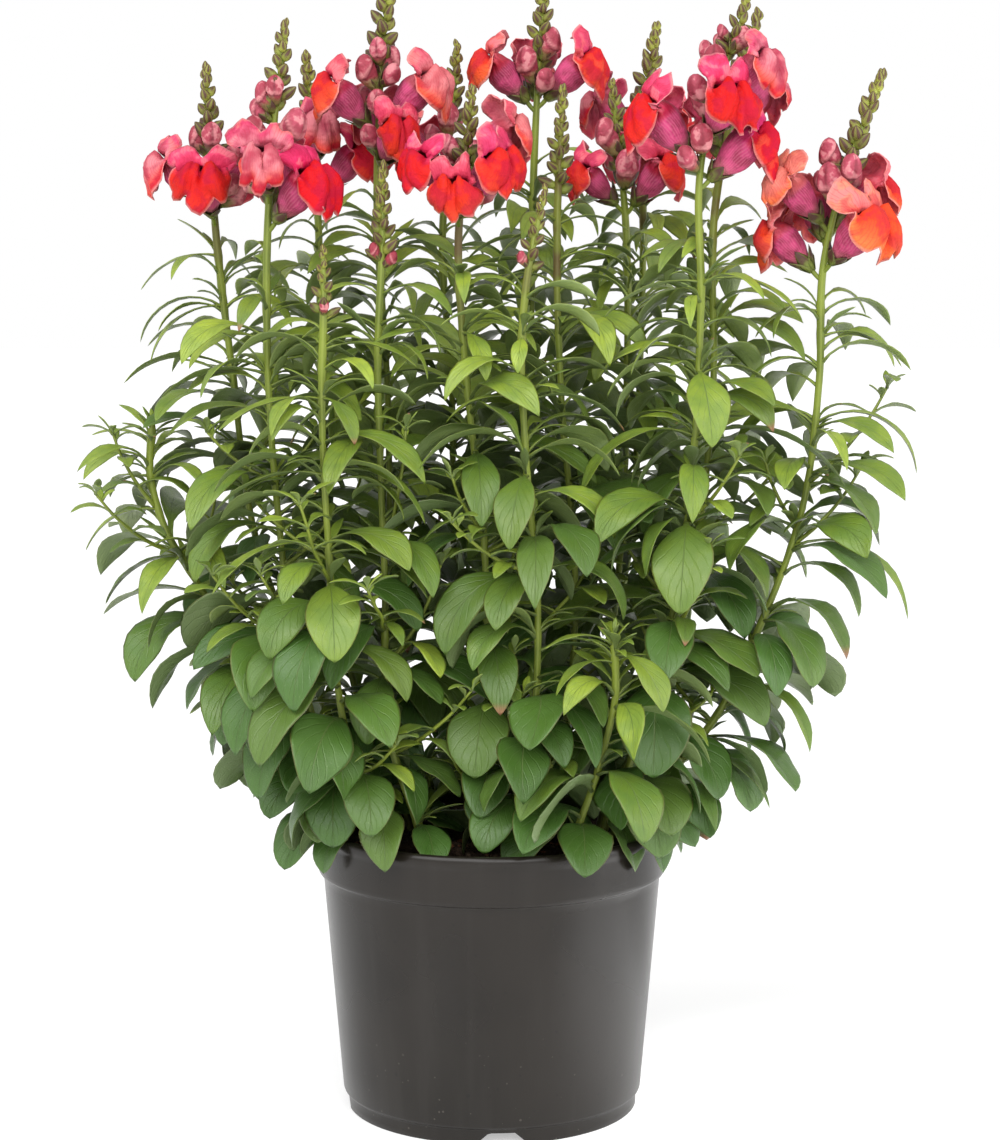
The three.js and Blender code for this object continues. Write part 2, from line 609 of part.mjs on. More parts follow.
function pot() {
  const floorTop = FLOOR_BOTTOM + POT_WALL;
  const floor = [[0, FLOOR_BOTTOM], [FOOT_RADIUS - POT_WALL, FLOOR_BOTTOM]];
  const foot = [[FOOT_RADIUS - POT_WALL, 0], [FOOT_RADIUS, 0], [FOOT_RADIUS, FOOT_HEIGHT - 1]];
  const wall = [[HEEL_RADIUS, FOOT_HEIGHT + 1], [SHOULDER_RADIUS, BAND_BOTTOM - 0.5]];
  const band = [[BAND_RADIUS, BAND_BOTTOM + 0.5], [BAND_RADIUS, POT_HEIGHT - 7]];
  const lip = [[RIM_RADIUS, POT_HEIGHT - 5], [RIM_RADIUS - 1.5, POT_HEIGHT]];
  const hollow = [[potInside(POT_HEIGHT), POT_HEIGHT - 0.6], [potInside(FOOT_HEIGHT), floorTop],
    [0, floorTop]];
  const profile = [...floor, ...foot, ...wall, ...band, ...lip, ...hollow]
    .map(([r, z]) => new THREE.Vector2(r, z));
  // LatheGeometry turns its profile about +Y, so the pot is stood up onto +Z.
  let body = solidFrom(new THREE.LatheGeometry(profile, POT_SIDES).rotateX(Math.PI / 2));
  const [top, bottom] = [NOTCH.topWidth / 2, NOTCH.bottomWidth / 2];
  const outline = [[-bottom, -1], [bottom, -1], [top, NOTCH.height], [-top, NOTCH.height]];
  const notch = new THREE.ExtrudeGeometry(new THREE.Shape(outline.map(([u, v]) => new THREE.Vector2(u, v))),
    { depth: 14, bevelEnabled: false });
  notch.rotateX(Math.PI / 2).rotateZ(Math.PI / 2).translate(FOOT_RADIUS - 8, 0, 0);
  const drain = new THREE.CylinderGeometry(DRAIN.radius, DRAIN.radius, 20, DRAIN.sides);
  drain.rotateX(Math.PI / 2).translate(DRAIN.circle, 0, FLOOR_BOTTOM);
  for (let k = 0; k < NOTCH.count; k += 1) {
    const turn = radians(NOTCH.turn + (360 * k) / NOTCH.count);
    for (const cutter of [notch, drain]) {
      body = body.subtract(solidFrom(cutter.clone().rotateZ(turn)));
    }
  }
  return body;
}

function soil() {
  const inside = (z) => potInside(z) - 1.5 * CLEAR;
  const floor = FLOOR_BOTTOM + POT_WALL + CLEAR;
  const side = [[0, floor], [inside(floor) - 0.5, floor], [inside(SOIL_TOP) - 0.5, SOIL_TOP - 2]];
  const top = [[66, SOIL_TOP], [30, SOIL_TOP], [0, SOIL_TOP]];
  const profile = [...side, ...top].map(([r, z]) => new THREE.Vector2(r, z));
  const geometry = new THREE.LatheGeometry(profile, SOIL_SIDES).rotateX(Math.PI / 2);
  const positions = geometry.getAttribute("position");
  for (let i = 0; i < positions.count; i += 1) {
    const [x, y, z] = [positions.getX(i), positions.getY(i), positions.getZ(i)];
    if (z > SOIL_TOP - 1) positions.setZ(i, z + SOIL_BUMP * Math.sin(x * 0.13 + 1) * Math.cos(y * 0.11));
  }
  return STEMS.reduce((ground, stem) => ground.subtract(stemHole(stem)), solidFrom(geometry));
}

// ---- Assembly ----
// Everything that later pieces stand clear of.
const placed = [];

function boxOf(solid) {
  const { min, max } = solid.boundingBox();
  return new THREE.Box3(new THREE.Vector3(...min), new THREE.Vector3(...max));
}

function place(solid) {
  placed.push({ solid, box: boxOf(solid) });
  return solid;
}

function isClear(solid, except = []) {
  const box = boxOf(solid);
  return placed.every((other) => (
    except.includes(other.solid) || !box.intersectsBox(other.box) || solid.intersect(other.solid).isEmpty()));
}

const potBody = place(pot());
const soilBody = place(soil());
const stemParts = STEMS.map((stem) => {
  const spike = hasSpike(stem) ? [spikeSolid(stem)] : [];
  return [stemTube(stem), ...spike, ...stem.closed.map((closed) => closedBloom(stem, closed))].map(place);
});

const blooms = [];
STEMS.forEach((stem, index) => {
  const ownParts = stemParts[index];
  for (const [z, turn, pitch, scale] of stem.blooms) {
    const settings = BLOOM_TRIES.map(([swing, tilt]) => [z, turn + swing, pitch + tilt, scale]);
    const setting = settings.find((tried) => {
      const { bloom, calyx } = bloomAt(stem, tried);
      return isClear(bloom) && isClear(calyx, ownParts);
    });
    if (!setting) continue;
    const { bloom, calyx } = bloomAt(stem, setting);
    ownParts.push(place(calyx));
    blooms.push(place(bloom));
  }
});

// Showy leaves come first, so that they keep the places they were given.
for (const isShowy of [true, false]) {
  STEMS.forEach((stem, index) => {
    const ownParts = stemParts[index];
    const leaves = leavesOf(stem).filter((leaf) => leaf.isShowy === isShowy);
    for (const leaf of leaves) {
      const settings = LEAF_TRIES.map(([swing, lift]) => (
        { ...leaf, turn: leaf.turn + swing, fall: leaf.fall + lift }));
      const setting = settings.find((tried) => isClear(leafSolid(tried, CLEAR), [ownParts[0]]));
      if (setting) ownParts.push(place(leafSolid(setting)));
    }
  });
}

const plant = new THREE.Group();
const numbered = (name, index) => `${name}_${String(index + 1).padStart(2, "0")}`;
plant.add(meshFrom(potBody, "nursery_pot", POT_GREY));
plant.add(meshFrom(soilBody, "potting_soil", SOIL_BROWN));
stemParts.forEach((parts, index) => {
  plant.add(meshFrom(joined(parts), numbered("leafy_stem", index), LEAF_GREEN));
});
blooms.forEach((bloom, index) => plant.add(meshFrom(bloom, numbered("bloom", index), BLOOM_RED)));

const middle = new THREE.Box3().setFromObject(plant).getCenter(new THREE.Vector3());
plant.position.set(-middle.x, -middle.y, 0);

export default plant;
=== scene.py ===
# %% [markdown]
# # A snapdragon in its nursery pot
# A snapdragon is a clump of upright shoots. Each shoot carries leaves in opposite pairs, then open
# two-lipped blooms, then closed ones, and ends in a spike of green buds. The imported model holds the
# true place of each stem, leaf and bloom as a few plain facets. This lesson grows a finer piece in the
# place of each one, with numpy grids for the shapes and node materials for the colours.

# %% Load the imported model
import math

import bpy
import numpy as np
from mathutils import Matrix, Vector
from mathutils.bvhtree import BVHTree
from mathutils.kdtree import KDTree


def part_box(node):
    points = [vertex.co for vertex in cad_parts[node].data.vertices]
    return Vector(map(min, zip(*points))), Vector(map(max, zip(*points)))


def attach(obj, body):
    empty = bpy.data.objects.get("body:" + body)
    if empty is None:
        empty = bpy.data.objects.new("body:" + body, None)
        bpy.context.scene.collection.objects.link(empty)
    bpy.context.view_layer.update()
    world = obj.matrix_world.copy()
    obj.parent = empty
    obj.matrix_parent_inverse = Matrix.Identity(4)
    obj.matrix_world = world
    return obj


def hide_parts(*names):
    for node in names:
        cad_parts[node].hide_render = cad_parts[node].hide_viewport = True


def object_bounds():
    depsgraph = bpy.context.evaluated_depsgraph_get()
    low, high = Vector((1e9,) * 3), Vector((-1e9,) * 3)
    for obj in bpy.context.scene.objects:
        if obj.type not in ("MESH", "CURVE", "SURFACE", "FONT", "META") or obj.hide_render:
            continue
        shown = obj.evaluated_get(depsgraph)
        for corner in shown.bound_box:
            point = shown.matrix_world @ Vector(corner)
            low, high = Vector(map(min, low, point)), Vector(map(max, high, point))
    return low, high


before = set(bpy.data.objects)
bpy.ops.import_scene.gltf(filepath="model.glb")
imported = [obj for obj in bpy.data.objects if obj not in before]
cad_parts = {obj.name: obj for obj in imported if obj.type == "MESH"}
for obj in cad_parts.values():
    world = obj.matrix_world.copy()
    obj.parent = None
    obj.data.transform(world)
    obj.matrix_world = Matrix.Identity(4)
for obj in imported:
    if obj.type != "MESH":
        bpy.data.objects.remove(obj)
CAD_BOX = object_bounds()
print("the packed model has", len(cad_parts), "nodes")

# %% [markdown]
# ## Where everything is measured from
# A gardener would measure this plant from the middle of its pot, in millimetres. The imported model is
# centred on the plant's overall box instead, and is in metres. So every shape below is made in
# millimetres about the pot's axis, and one function moves it into the model's frame.

# %% From the pot's axis to the model's frame
pot_low, pot_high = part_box("nursery_pot")
POT_AXIS = np.array([(pot_low.x + pot_high.x) / 2, (pot_low.y + pot_high.y) / 2, 0.0])


def to_frame(points):
    """Points in millimetres about the pot's axis, in metres in the model's frame."""
    return np.asarray(points, float) / 1000 + POT_AXIS


print("the pot's axis stands at", POT_AXIS.round(4))

# %% [markdown]
# ## Camera, floor and light
# The plant is seen from a little above its middle and a long way off, as a product is, so the view is
# nearly level and flat. The light is a soft sun high on the front left, which lights the floor evenly
# however far it runs, with a pale sky to fill the shade. A wide wall of light in front lifts the blooms,
# and a tall strip on the right gives the leaves an edge. A pot that tapers downwards mirrors the floor
# and not the lamps, so its long soft streaks come from two brighter patches of floor beside it.

# %% The camera
CAMERA_PLACE = (4.5, -1520, 485)
CAMERA_TILT = 0.124  # radians below level
SENSOR = 36.0  # millimetres, along the picture's long side
LENS = 89.2

camera_data = bpy.data.cameras.new("camera")
camera_data.sensor_width = SENSOR
camera_data.lens = LENS
camera_data.clip_start = 0.05
camera_data.clip_end = 50
camera = bpy.data.objects.new("camera", camera_data)
camera.location = to_frame(CAMERA_PLACE)
camera.rotation_euler = (math.pi / 2 - CAMERA_TILT, 0, 0)
bpy.context.scene.collection.objects.link(camera)
bpy.context.scene.camera = camera

# %% Lamps and sky
SPOT_BLEND, SPOT_RADIUS = 0.8, 0.05


def hang(lamp_data, place, aim):
    """Hangs a lamp at a place, facing a point; both are in metres about the pot's axis."""
    lamp = bpy.data.objects.new(lamp_data.name, lamp_data)
    lamp.location = Vector(place) + Vector(POT_AXIS)
    lamp.rotation_euler = (Vector(aim) - Vector(place)).to_track_quat("-Z", "Y").to_euler()
    bpy.context.scene.collection.objects.link(lamp)


def soft_lamp(name, place, aim, size, power):
    """A rectangular lamp, with its size in metres and its power in watts."""
    lamp_data = bpy.data.lights.new(name, "AREA")
    lamp_data.shape = "RECTANGLE"
    lamp_data.size, lamp_data.size_y = size
    lamp_data.energy = power
    hang(lamp_data, place, aim)


def floor_patch(name, place, aim, width, power):
    """A spot that brightens a patch of floor, for the pot's tapered wall to mirror."""
    lamp_data = bpy.data.lights.new(name, "SPOT")
    lamp_data.energy = power
    lamp_data.spot_size = math.radians(width)
    lamp_data.spot_blend = SPOT_BLEND
    lamp_data.shadow_soft_size = SPOT_RADIUS
    hang(lamp_data, place, aim)


soft_lamp("right_strip", (1.55, -0.4, 0.55), (0, 0, 0.25), (0.45, 1.5), 9)
soft_lamp("front_wall", (0.5, -2.3, 1.5), (0, 0, 0.35), (1.8, 1.4), 31)
floor_patch("right_patch", (1.0, -0.55, 1.1), (0.30, -0.07, 0), 17, 190)
floor_patch("left_patch", (-0.55, -0.9, 0.9), (-0.14, -0.24, 0), 8, 30)

KEY_DIRECTION = (-0.55, -0.72, 0.85)  # from the plant towards the light
KEY_STRENGTH = 1.95
KEY_SPREAD = 50  # degrees; the wider, the softer its shadows
key_data = bpy.data.lights.new("key", "SUN")
key_data.energy = KEY_STRENGTH
key_data.angle = math.radians(KEY_SPREAD)
key = bpy.data.objects.new("key", key_data)
key.rotation_euler = Vector(KEY_DIRECTION).to_track_quat("Z", "Y").to_euler()
bpy.context.scene.collection.objects.link(key)

# %% The sky: white to the eye, softer as a light
SKY_SEEN, SKY_LIGHT = 1.0, 0.68
sky = bpy.data.worlds.new("sky")
sky.use_nodes = True
sky_tree = sky.node_tree
seen = sky_tree.nodes.new("ShaderNodeLightPath")
strength = sky_tree.nodes.new("ShaderNodeMapRange")
strength.inputs["To Min"].default_value = SKY_LIGHT
strength.inputs["To Max"].default_value = SKY_SEEN
sky_tree.links.new(seen.outputs["Is Camera Ray"], strength.inputs["Value"])
sky_tree.nodes["Background"].inputs["Color"].default_value = (1, 1, 1, 1)
sky_tree.links.new(strength.outputs[0], sky_tree.nodes["Background"].inputs["Strength"])
bpy.context.scene.world = sky
bpy.context.scene.view_settings.view_transform = "Standard"
print("a soft sun and", len(bpy.data.lights) - 1, "lamps under a sky of strength", SKY_LIGHT)

# %% [markdown]
# ## A few turns of phrase for nodes
# Materials below are written as short sentences: add a node, feed its sockets, pass its output on.
# A number that is the same all over a surface is typed into the socket itself.

# %% Adding and feeding nodes
def add(tree, kind, feeds=None, **settings):
    """Adds a shader node; feeds maps a socket to a value or to the output that drives it."""
    made = tree.nodes.new("ShaderNode" + kind)
    for key, value in settings.items():
        setattr(made, key, value)
    for socket, value in (feeds or {}).items():
        if isinstance(value, bpy.types.NodeSocket):
            tree.links.new(value, made.inputs[socket])
        else:
            made.inputs[socket].default_value = value
    return made


def maths(tree, operation, first, second=0.0, third=0.0):
    """One sum of one, two or three numbers."""
    return add(tree, "Math", {0: first, 1: second, 2: third}, operation=operation).outputs[0]


def times(tree, first, second):
    return maths(tree, "MULTIPLY", first, second)


def blend(tree, amount, first, second):
    """One colour blended over another by an amount from 0 to 1."""
    return add(tree, "Mix", {0: amount, 6: first, 7: second}, data_type="RGBA").outputs[2]


def spread(tree, value, low, high, out_low=0.0, out_high=1.0):
    """A value's range from low to high spread over a new range, smoothly and without overshoot."""
    feeds = {"Value": value, "From Min": low, "From Max": high, "To Min": out_low, "To Max": out_high}
    return add(tree, "MapRange", feeds, interpolation_type="SMOOTHSTEP").outputs[0]


def rgb(red, green, blue):
    return (red, green, blue, 1.0)


print("node helpers are ready")

# %% [markdown]
# ## What each vertex knows
# A leaf's veins follow the leaf, not the room. So each vertex carries a small note: how far along its
# blade or petal it is, how far across, which face it is on, and a number of its own for each leaf. A
# material reads that note with an Attribute node, and its patterns bend with the blade.

# %% Reading a vertex's note in a material
def read_note(tree):
    """The along, across, face and own-number values that the mesh carries."""
    note = add(tree, "Attribute", attribute_name="note")
    parts = add(tree, "SeparateColor", {0: note.outputs["Color"]})
    return parts.outputs[0], parts.outputs[1], parts.outputs[2], note.outputs["Alpha"]


def read_age(tree):
    """A second value: 0 for a young or fresh piece, 1 for an old one."""
    return add(tree, "Attribute", attribute_name="age").outputs["Fac"]


# %% [markdown]
# ## Effects that several finishes share
# Leaves, sepals and petals all have veins, and nearly every surface here has a fine grain and cloudy
# patches of a slightly different colour. Each effect is made once as a node group, and every material
# sets its own numbers on it.

# %% A group's sockets
def new_group(name, inputs, outputs):
    """An empty node group with float inputs (name, value) and outputs (name)."""
    group = bpy.data.node_groups.new(name, "ShaderNodeTree")
    for label, value in inputs:
        socket = group.interface.new_socket(label, in_out="INPUT", socket_type="NodeSocketFloat")
        socket.default_value = value
    for label in outputs:
        group.interface.new_socket(label, in_out="OUTPUT", socket_type="NodeSocketFloat")
    return group, group.nodes.new("NodeGroupInput"), group.nodes.new("NodeGroupOutput")


def use(tree, group, feeds):
    """Places a node group in a material with its own values."""
    return add(tree, "Group", feeds, node_tree=group)


# %% Veins
def make_veins():
    """A midrib and slanted side veins, as a mask that is 1 on a vein."""
    group, given, out = new_group("veins", [
        ("Along", 0), ("Across", 0), ("Count", 7), ("Slant", 0.5), ("Rib", 0.05), ("Side", 0.2),
        ("Own", 0)], ["Midrib", "Side veins"])
    away = maths(group, "ABSOLUTE", given.outputs["Across"])
    taper = maths(group, "SUBTRACT", 1.25, given.outputs["Along"])
    rib_width = times(group, given.outputs["Rib"], taper)
    midrib = maths(group, "SUBTRACT", 1.0, spread(group, away, 0.0, rib_width))
    layer = times(group, given.outputs["Own"], 9.0)
    place = add(group, "CombineXYZ", {0: given.outputs["Along"], 1: given.outputs["Across"], 2: layer})
    wander = add(group, "TexNoise", {"Vector": place.outputs[0], "Scale": 5.0, "Detail": 1.0})
    bent = times(group, maths(group, "POWER", away, 0.8), given.outputs["Slant"])
    run = maths(group, "SUBTRACT", given.outputs["Along"], bent)
    run = maths(group, "MULTIPLY_ADD", wander.outputs[0], 0.05, run)
    saw = maths(group, "PINGPONG", times(group, run, given.outputs["Count"]), 0.5)
    side = maths(group, "SUBTRACT", 1.0, spread(group, saw, 0.0, given.outputs["Side"]))
    faded = times(group, side, spread(group, away, 1.0, 0.7))
    group.links.new(midrib, out.inputs["Midrib"])
    group.links.new(faded, out.inputs["Side veins"])
    return group


VEINS = make_veins()


# %% Grain and patches
def make_grain():
    """Fine grain, and slow cloudy patches, both from 0 to 1 and fixed to the surface."""
    group, given, out = new_group("grain", [
        ("Grain size", 900), ("Patch size", 60), ("Own", 0)], ["Grain", "Patches"])
    place = add(group, "TexCoord")
    fine = add(group, "TexNoise", {
        "Vector": place.outputs["Object"], "Scale": given.outputs["Grain size"], "Detail": 2.0})
    moved = add(group, "VectorMath", {
        0: place.outputs["Object"], 1: given.outputs["Own"]}, operation="ADD")
    slow = add(group, "TexNoise", {
        "Vector": moved.outputs[0], "Scale": given.outputs["Patch size"], "Detail": 2.0})
    group.links.new(fine.outputs[0], out.inputs["Grain"])
    group.links.new(spread(group, slow.outputs[0], 0.35, 0.65), out.inputs["Patches"])
    return group


GRAIN = make_grain()


def grained(tree, grain_size, patch_size, own=0.0):
    """Places the grain group with its own sizes; returns its grain and its patches."""
    group = use(tree, GRAIN, {"Grain size": grain_size, "Patch size": patch_size, "Own": own})
    return group.outputs["Grain"], group.outputs["Patches"]


# %% Specks
def make_specks():
    """Small scattered specks, such as dust or splashes, as a mask that is 1 on a speck."""
    group, given, out = new_group("specks", [("Speck scale", 300), ("Cover", 0.2)], ["Specks"])
    place = add(group, "TexCoord")
    cells = add(group, "TexVoronoi", {
        "Vector": place.outputs["Object"], "Scale": given.outputs["Speck scale"], "Randomness": 1.0})
    chosen = add(group, "SeparateColor", {0: cells.outputs["Color"]})
    kept = maths(group, "LESS_THAN", chosen.outputs[0], given.outputs["Cover"])
    size = times(group, chosen.outputs[1], 0.3)
    dot = maths(group, "LESS_THAN", cells.outputs["Distance"], size)
    group.links.new(times(group, kept, dot), out.inputs["Specks"])
    return group


SPECKS = make_specks()
print("shared effects:", VEINS.name, GRAIN.name, SPECKS.name)

# %% [markdown]
# ## Starting a material
# Every finish here is one Principled BSDF. A bump node turns a height into a normal, and only a height
# that has real relief goes into it.

# %% A new material
def new_material(name, **constants):
    """A material with one Principled BSDF; constants are typed into its sockets."""
    made = bpy.data.materials.new(name)
    made.use_nodes = True
    shader = made.node_tree.nodes["Principled BSDF"]
    for socket, value in constants.items():
        shader.inputs[socket.replace("_", " ")].default_value = value
    return made, made.node_tree, shader


def bumped(tree, shader, height, strength, depth):
    """Feeds the shader's normal from a height; depth is in metres."""
    bump = add(tree, "Bump", {"Height": height, "Strength": strength, "Distance": depth})
    tree.links.new(bump.outputs[0], shader.inputs["Normal"])


def coloured(tree, shader, colour, roughness=None):
    """Feeds the shader's colour and, where given, its roughness."""
    tree.links.new(colour, shader.inputs["Base Color"])
    if roughness is not None:
        tree.links.new(roughness, shader.inputs["Roughness"])


# %% [markdown]
# ## The leaf's finish
# A snapdragon leaf is mid green and satin above, paler and greyer below. Its midrib is pale, and the thin
# groove down its middle is darkened with painted shade. Its side veins are faint. Young leaves are yellower.
# Old ones darken, and a few tips go brown.

# %% Leaf
def make_leaf_finish():
    material, tree, shader = new_material("leaf_blade", Specular_IOR_Level=0.5)
    along, across, face, own = read_note(tree)
    age = read_age(tree)
    young, grown = rgb(0.32, 0.42, 0.042), rgb(0.054, 0.126, 0.020)
    colour = blend(tree, age, young, grown)
    grain, patches = grained(tree, 1600, 90, own)
    colour = blend(tree, times(tree, patches, 0.4), colour, rgb(0.074, 0.160, 0.028))
    colour = blend(tree, spread(tree, own, 0.55, 1.0, 0.0, 0.55), colour, rgb(0.046, 0.098, 0.014))
    colour = blend(tree, spread(tree, own, 0.3, 0.0, 0.0, 0.45), colour, rgb(0.13, 0.19, 0.030))
    colour = blend(tree, spread(tree, along, 0.25, 0.0, 0.0, 0.55), colour, rgb(0.22, 0.29, 0.045))
    veins = use(tree, VEINS, {"Along": along, "Across": across, "Count": 7.0, "Slant": 0.42,
                              "Rib": 0.045, "Side": 0.10, "Own": own})
    colour = blend(tree, times(tree, veins.outputs["Side veins"], 0.14), colour, rgb(0.17, 0.27, 0.07))
    colour = blend(tree, times(tree, veins.outputs["Midrib"], 0.75), colour, rgb(0.26, 0.36, 0.11))
    # painted shade: the thin groove at the middle of the midrib is darkened as if shaded
    painted_groove_shade = spread(tree, maths(tree, "ABSOLUTE", across), 0.035, 0.0, 0.0, 0.6)
    colour = blend(tree, painted_groove_shade, colour, rgb(0.040, 0.075, 0.015))
    pale = use(tree, SPECKS, {"Speck scale": 900, "Cover": 0.16})
    colour = blend(tree, times(tree, pale.outputs[0], 0.35), colour, rgb(0.24, 0.33, 0.14))
    edge = spread(tree, maths(tree, "ABSOLUTE", across), 0.93, 1.0, 0.0, 0.5)
    colour = blend(tree, edge, colour, rgb(0.22, 0.17, 0.06))
    below = blend(tree, 0.65, colour, rgb(0.17, 0.22, 0.095))
    colour = blend(tree, spread(tree, face, 0.45, 0.3), colour, below)
    tip = times(tree, spread(tree, along, 0.88, 0.97), maths(tree, "GREATER_THAN", own, 0.965))
    colour = blend(tree, tip, colour, rgb(0.26, 0.13, 0.06))
    rough = maths(tree, "MULTIPLY_ADD", patches, 0.16, 0.29)
    coloured(tree, shader, colour, rough)
    height = maths(tree, "MULTIPLY_ADD", veins.outputs["Side veins"], -0.9, grain)
    height = maths(tree, "MULTIPLY_ADD", veins.outputs["Midrib"], -1.6, height)
    bumped(tree, shader, height, 0.6, 0.0004)
    return material


LEAF = make_leaf_finish()


# %% [markdown]
# ## The stem's finish
# A stem is paler and yellower than its leaves, faintly ribbed along its length, and flushed with red
# brown just below the blooms.

# %% Stem
def make_stem_finish():
    material, tree, shader = new_material("stem_skin", Specular_IOR_Level=0.4)
    along, across, flowering, own = read_note(tree)
    grain, patches = grained(tree, 1500, 45, own)
    colour = blend(tree, patches, rgb(0.195, 0.250, 0.028), rgb(0.120, 0.160, 0.022))
    stripe = maths(tree, "PINGPONG", times(tree, across, 6.0), 0.5)
    colour = blend(tree, spread(tree, stripe, 0.0, 0.5, 0.0, 0.45), colour, rgb(0.27, 0.32, 0.050))
    high = spread(tree, along, 0.66, 0.80)
    flush = times(tree, high, spread(tree, patches, 0.2, 1.0, 0.25, 0.8))
    flush = times(tree, flush, times(tree, flowering, spread(tree, own, 0.3, 0.7)))
    colour = blend(tree, flush, colour, rgb(0.125, 0.065, 0.03))
    colour = blend(tree, spread(tree, along, 0.08, 0.0, 0.0, 0.6), colour, rgb(0.15, 0.14, 0.05))
    coloured(tree, shader, colour, maths(tree, "MULTIPLY_ADD", grain, 0.2, 0.35))
    bumped(tree, shader, maths(tree, "ADD", stripe, grain), 0.4, 0.0003)
    return material


STEM = make_stem_finish()


# %% [markdown]
# ## The bud's finish
# Sepals are yellow green at their foot and purple brown at their tips, and greener where two of them meet.

# %% Sepal and bud
def make_sepal_finish():
    material, tree, shader = new_material("sepal", Specular_IOR_Level=0.35)
    along, across, _, own = read_note(tree)
    age = read_age(tree)
    grain, patches = grained(tree, 1800, 160, own)
    green = blend(tree, age, rgb(0.40, 0.44, 0.070), rgb(0.120, 0.155, 0.028))
    reach = maths(tree, "MULTIPLY_ADD", patches, 0.3, along)
    dark = spread(tree, reach, 0.22, 0.68, 0.0, 0.93)
    middle = spread(tree, maths(tree, "ABSOLUTE", across), 0.85, 0.45, 0.4, 1.0)
    dark = times(tree, dark, middle)
    colour = blend(tree, dark, green, rgb(0.080, 0.026, 0.028))
    coloured(tree, shader, colour, maths(tree, "MULTIPLY_ADD", grain, 0.25, 0.4))
    bumped(tree, shader, grain, 0.5, 0.0004)
    return material


SEPAL = make_sepal_finish()


# %% [markdown]
# ## The petal's finish
# The tube is mauve pink, pale at its foot and finely streaked. The upper lip, or hood, warms to hot
# pink, and its pale mottling is partly its own colour and partly painted highlight. The lower lip is red
# to orange. Both have paler rims and a crinkled face, with darker mottling that is partly their own tone
# and partly painted shade of their folds, and painted shade where they fold out of the tube at the mouth.
# Each bloom has a tone of its own between deep red and coral, and the ones that have only just opened
# are still dusty pink.

# %% Petal
def make_petal_finish():
    material, tree, shader = new_material("petal", Specular_IOR_Level=0.14)
    along, around, face, own = read_note(tree)
    tone = read_age(tree)
    grain, patches = grained(tree, 1400, 110, own)
    coral = times(tree, tone, tone)
    fresh = spread(tree, own, 0.76, 0.84)
    tube = blend(tree, patches, rgb(0.60, 0.064, 0.195), rgb(0.30, 0.028, 0.080))
    wandering = maths(tree, "MULTIPLY_ADD", patches, 0.03, around)
    streak = maths(tree, "PINGPONG", times(tree, wandering, 19.0), 0.5)
    tube = blend(tree, spread(tree, streak, 0.45, 0.0, 0.0, 0.3), tube, rgb(0.66, 0.20, 0.27))
    tube = blend(tree, spread(tree, along, 0.2, 0.0, 0.0, 0.7), tube, rgb(0.42, 0.20, 0.16))
    hood_deep = blend(tree, spread(tree, own, 0.1, 0.7), rgb(0.66, 0.010, 0.080), rgb(0.57, 0.028, 0.20))
    hood = blend(tree, coral, hood_deep, rgb(0.80, 0.11, 0.085))
    hood_edge = blend(tree, coral, rgb(0.76, 0.050, 0.175), rgb(0.84, 0.27, 0.17))
    hood = blend(tree, spread(tree, along, 0.66, 1.0), hood, hood_edge)
    # pale mottling on the hood, partly its own colour and partly painted highlight
    hood = blend(tree, spread(tree, patches, 0.35, 0.0, 0.0, 0.6), hood, rgb(0.80, 0.20, 0.24))
    lip = blend(tree, coral, rgb(0.56, 0.003, 0.008), rgb(0.80, 0.060, 0.012))
    lip_edge = blend(tree, coral, rgb(0.68, 0.006, 0.012), rgb(0.86, 0.18, 0.045))
    lip = blend(tree, spread(tree, along, 0.8, 1.0), lip, lip_edge)
    lobe = blend(tree, spread(tree, around, 0.42, 0.54), hood, lip)
    # darker mottling on the lips, partly their own tone and partly painted shade of their folds
    lobe = blend(tree, spread(tree, patches, 0.2, 1.0, 0.0, 0.5), lobe, rgb(0.38, 0.006, 0.045))
    warm = times(tree, spread(tree, patches, 0.6, 0.1), spread(tree, own, 0.4, 0.7, 0.0, 0.35))
    warm = times(tree, warm, spread(tree, along, 0.6, 0.9))
    lobe = blend(tree, warm, lobe, rgb(0.86, 0.16, 0.08))
    dusty = blend(tree, patches, rgb(0.70, 0.24, 0.29), rgb(0.38, 0.050, 0.095))
    dusty = blend(tree, coral, dusty, rgb(0.80, 0.25, 0.20))
    fading = times(tree, fresh, spread(tree, along, 0.99, 0.8))
    lobe = blend(tree, times(tree, fading, 0.85), lobe, dusty)
    colour = blend(tree, spread(tree, along, 0.40, 0.56), tube, lobe)
    # painted shade in a band round the mouth, where the lips fold out of the tube
    painted_mouth_shade = times(tree, spread(tree, along, 0.42, 0.52), spread(tree, along, 0.68, 0.54))
    colour = blend(tree, times(tree, painted_mouth_shade, 0.6), colour, rgb(0.30, 0.006, 0.030))
    vein = maths(tree, "PINGPONG", times(tree, wandering, 37.0), 0.5)
    vein = times(tree, spread(tree, vein, 0.36, 0.5, 0.0, 0.4), spread(tree, along, 0.5, 0.8))
    colour = blend(tree, vein, colour, rgb(0.42, 0.006, 0.028))
    rim = spread(tree, along, 0.97, 1.0, 0.0, 0.55)
    colour = blend(tree, rim, colour, rgb(0.88, 0.40, 0.38))
    behind = times(tree, spread(tree, face, 0.4, 0.6), spread(tree, along, 0.5, 0.75))
    colour = blend(tree, times(tree, behind, 0.45), colour, rgb(0.58, 0.13, 0.20))
    coloured(tree, shader, colour, maths(tree, "MULTIPLY_ADD", patches, 0.15, 0.5))
    relief = maths(tree, "MULTIPLY_ADD", streak, 0.25, grain)
    crinkles = add(tree, "TexNoise", {"Vector": add(tree, "TexCoord").outputs["Object"], "Scale": 260.0,
                                      "Detail": 2.0, "Distortion": 1.2})
    relief = maths(tree, "MULTIPLY_ADD", crinkles.outputs[0], 3.0, relief)
    bumped(tree, shader, relief, 0.5, 0.0006)
    return material


PETAL = make_petal_finish()


